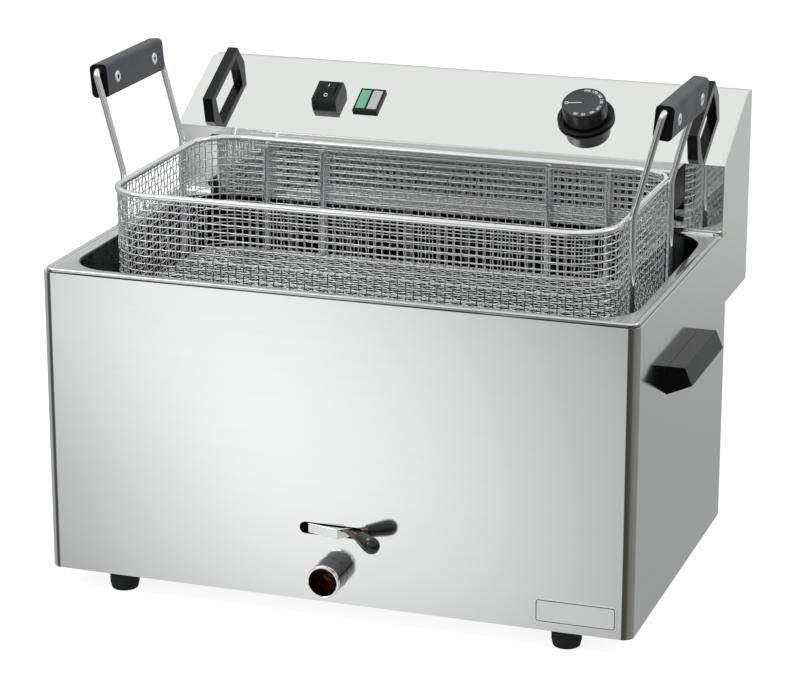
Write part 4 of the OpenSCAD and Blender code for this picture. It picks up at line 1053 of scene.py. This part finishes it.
def mirrored_floor(tree):
    """Painted reflection: the floor as metal mirrors it, a glowing map with a bright sheet ahead, dark bands
    at the front bends, grey behind.
    """
    place = add(tree, "ShaderNodeSeparateXYZ", add(tree, "ShaderNodeTexCoord")["Object"])
    ahead = maths(tree, "ADD", place["Y"], -FRONT)
    # The sheet ahead leans to one side and widens away from the casing
    middle = maths(tree, "MULTIPLY_ADD", ahead, SHEET_LEAN, SHEET_START)
    aside = maths(tree, "SUBTRACT", place["X"], middle)
    aside = maths(tree, "MULTIPLY", aside, span(tree, ahead, -0.8, -0.3, 0.77, 1.0))
    strip = ramp(tree, span(tree, aside, -SHEET_HALF, SHEET_HALF),
                 ((0.0, 0.11), (0.15, 0.26), (0.281, 0.60), (0.363, 0.88), (0.425, 0.95), (0.4875, 0.87),
                  (0.55, 0.74), (0.6125, 0.56), (0.6875, 0.40), (0.80, 0.12), (1.0, 0.03)))
    front = ramp(tree, span(tree, ahead, -1.6, 0.1),
                 ((0.0, 0.80), (0.176, 0.88), (0.382, 0.955), (0.588, 1.0), (0.735, 0.98), (0.853, 0.87),
                  (0.941, 0.72), (1.0, 0.40)))
    strip = maths(tree, "MULTIPLY", maths(tree, "MULTIPLY", strip, front), SHEET_GAIN)
    behind = ramp(tree, span(tree, place["Y"], -0.4, 2.0),
                  ((0.0, 0.35), (0.46, 0.37), (0.67, 0.51), (0.84, 0.53), (1.0, 0.53)))
    # Right bend
    right = bend_angle(tree, place["X"], ahead, 1.0)
    beside = ramp(tree, span(tree, right, -2.0, 1.0),
                  ((0.0, 0.05), (0.37, 0.05), (0.49, 0.18), (0.90, 0.23), (1.0, 0.27)))
    beside = fade(tree, right, *RIGHT_BEHIND, beside, behind)
    sheet = fade(tree, right, *RIGHT_AHEAD, strip, beside)
    # Left bend
    left = bend_angle(tree, place["X"], ahead, -1.0)
    beside = ramp(tree, span(tree, left, -1.2, 0.8),
                  ((0.0, 0.40), (0.04, 0.35), (0.15, 0.05), (0.375, 0.05), (0.46, 0.34), (0.56, 0.40),
                   (1.0, 0.40)))
    beside = fade(tree, left, 1.35, 1.50, beside, sheet)
    sheet = fade(tree, left, -1.12, -1.0, sheet, beside)
    # Painted reflection tint: warm beside the right bend, cooler behind it
    hue = mixed(tree, span(tree, right, *RIGHT_BEHIND), (1.0, 0.985, 0.90), (0.965, 1.0, 0.975))
    hue = mixed(tree, span(tree, right, *RIGHT_AHEAD), (0.99, 0.995, 1.0), hue)
    return add(tree, "ShaderNodeEmission", Color=hue, Strength=sheet)[0]


def seen_straight(tree, path):
    """One for what the camera sees itself or through clear plastic."""
    return maths(tree, "MAXIMUM", path["Is Camera Ray"], path["Is Transmission Ray"])


def floor_material():
    """White for the camera, with the object's shadow; for metal, a painted reflection: a glowing sheet with
    soft ends.
    """
    material = bpy.data.materials.new("floor_sheet")
    tree = empty_tree(material)
    path = add(tree, "ShaderNodeLightPath")
    lit = add(tree, "ShaderNodeBsdfDiffuse", Color=(0.40, 0.40, 0.40, 1.0))[0]
    white = add(tree, "ShaderNodeEmission", Color=(1, 1, 1, 1), Strength=0.84)[0]
    shown = add(tree, "ShaderNodeAddShader", lit, white)[0]
    other = add(tree, "ShaderNodeMixShader", path["Is Glossy Ray"], lit, mirrored_floor(tree))[0]
    final = add(tree, "ShaderNodeMixShader", seen_straight(tree, path), other, shown)[0]
    add(tree, "ShaderNodeOutputMaterial", Surface=final)
    return material


def studio_world(scene):
    """A white room for the camera, and a bright ceiling over greyer walls for light and metal."""
    scene.world = bpy.data.worlds.new("studio")
    tree = empty_tree(scene.world)
    path = add(tree, "ShaderNodeLightPath")
    way = add(tree, "ShaderNodeTexCoord")["Generated"]
    up = add(tree, "ShaderNodeSeparateXYZ", way)["Z"]
    room = span(tree, up, 0.0, 0.65, 0.42, 0.86, soft=True)
    light = add(tree, "ShaderNodeBackground", Color=(0.985, 1.0, 0.99, 1.0), Strength=room)[0]
    white = add(tree, "ShaderNodeBackground", Color=(1, 1, 1, 1), Strength=1.0)[0]
    final = add(tree, "ShaderNodeMixShader", seen_straight(tree, path), light, white)[0]
    add(tree, "ShaderNodeOutputWorld", Surface=final)


def look_at(thing, target):
    thing.rotation_euler = (Vector(target) - thing.location).to_track_quat("-Z", "Y").to_euler()


class FRYER_OT_stage(Operator):
    """Lay the floor, set the lamps and the camera"""
    bl_idname = "fryer.stage"
    bl_label = "Stage"

    floor_drop = 0.3
    lamps_aim = (0.0, 0.0, 0.2)

    def execute(self, context):
        stage = context.scene.fryer_stage
        floor = settle(made(bpy.ops.mesh.primitive_plane_add, size=stage.floor,
                            location=(0, 0, -self.floor_drop * MM)))
        floor.name = "floor_sheet"
        floor.data.materials.append(floor_material())
        studio_world(context.scene)
        for name, watts, side, place in (("key_lamp", stage.key, 1.6, (-1.9, -1.7, 2.4)),
                                         ("fill_lamp", stage.fill, 1.2, (2.4, 0.6, 1.8))):
            lamp = made(bpy.ops.object.light_add, type="AREA", location=place)
            lamp.name, lamp.data.energy, lamp.data.size = name, watts, side
            look_at(lamp, self.lamps_aim)
        camera = made(bpy.ops.object.camera_add, location=stage.eye)
        look_at(camera, stage.aim)
        camera.data.lens, camera.data.sensor_width, camera.data.clip_end = stage.lens, 36.0, 50.0
        context.scene.camera = camera
        context.scene.view_settings.view_transform = "Standard"
        return {"FINISHED"}


OPERATORS = (FRYER_OT_finishes, FRYER_OT_sheets, FRYER_OT_tank, FRYER_OT_handles, FRYER_OT_switch_marks,
             FRYER_OT_knob, FRYER_OT_drain, FRYER_OT_blank_plate, FRYER_OT_net, FRYER_OT_basket_rods,
             FRYER_OT_rivets, FRYER_OT_stage)
GROUPS = {"fryer_steel": FryerSteel, "fryer_plastic": FryerPlastic, "fryer_basket": FryerBasket,
          "fryer_knob": FryerKnob, "fryer_stage": FryerStage}


class FRYER_PT_pieces(Panel):
    """Sizes, colours and pieces of the fryer"""
    bl_idname = "FRYER_PT_pieces"
    bl_label = "Fryer"
    bl_space_type = "VIEW_3D"
    bl_region_type = "UI"
    bl_category = "Fryer"

    def draw(self, context):
        for key, group in GROUPS.items():
            box = self.layout.box()
            box.label(text=group.__doc__)
            for name in group.__annotations__:
                box.prop(getattr(context.scene, key), name)
        for operator in OPERATORS:
            self.layout.operator(operator.bl_idname)


def register():
    for group in GROUPS.values():
        bpy.utils.register_class(group)
    for key, group in GROUPS.items():
        setattr(bpy.types.Scene, key, PointerProperty(type=group))
    for operator in OPERATORS:
        bpy.utils.register_class(operator)
    bpy.utils.register_class(FRYER_PT_pieces)


def unregister():
    bpy.utils.unregister_class(FRYER_PT_pieces)
    for operator in reversed(OPERATORS):
        bpy.utils.unregister_class(operator)
    for key in GROUPS:
        delattr(bpy.types.Scene, key)
    for group in reversed(list(GROUPS.values())):
        bpy.utils.unregister_class(group)


def main():
    register()
    bpy.ops.fryer.stage()
    bpy.ops.fryer.finishes()
    bpy.ops.fryer.sheets()
    bpy.ops.fryer.tank()
    bpy.ops.fryer.handles()
    bpy.ops.fryer.switch_marks()
    bpy.ops.fryer.knob()
    bpy.ops.fryer.drain()
    bpy.ops.fryer.blank_plate()
    bpy.ops.fryer.net()
    bpy.ops.fryer.basket_rods()
    bpy.ops.fryer.rivets()


if __name__ == "__main__":
    main()
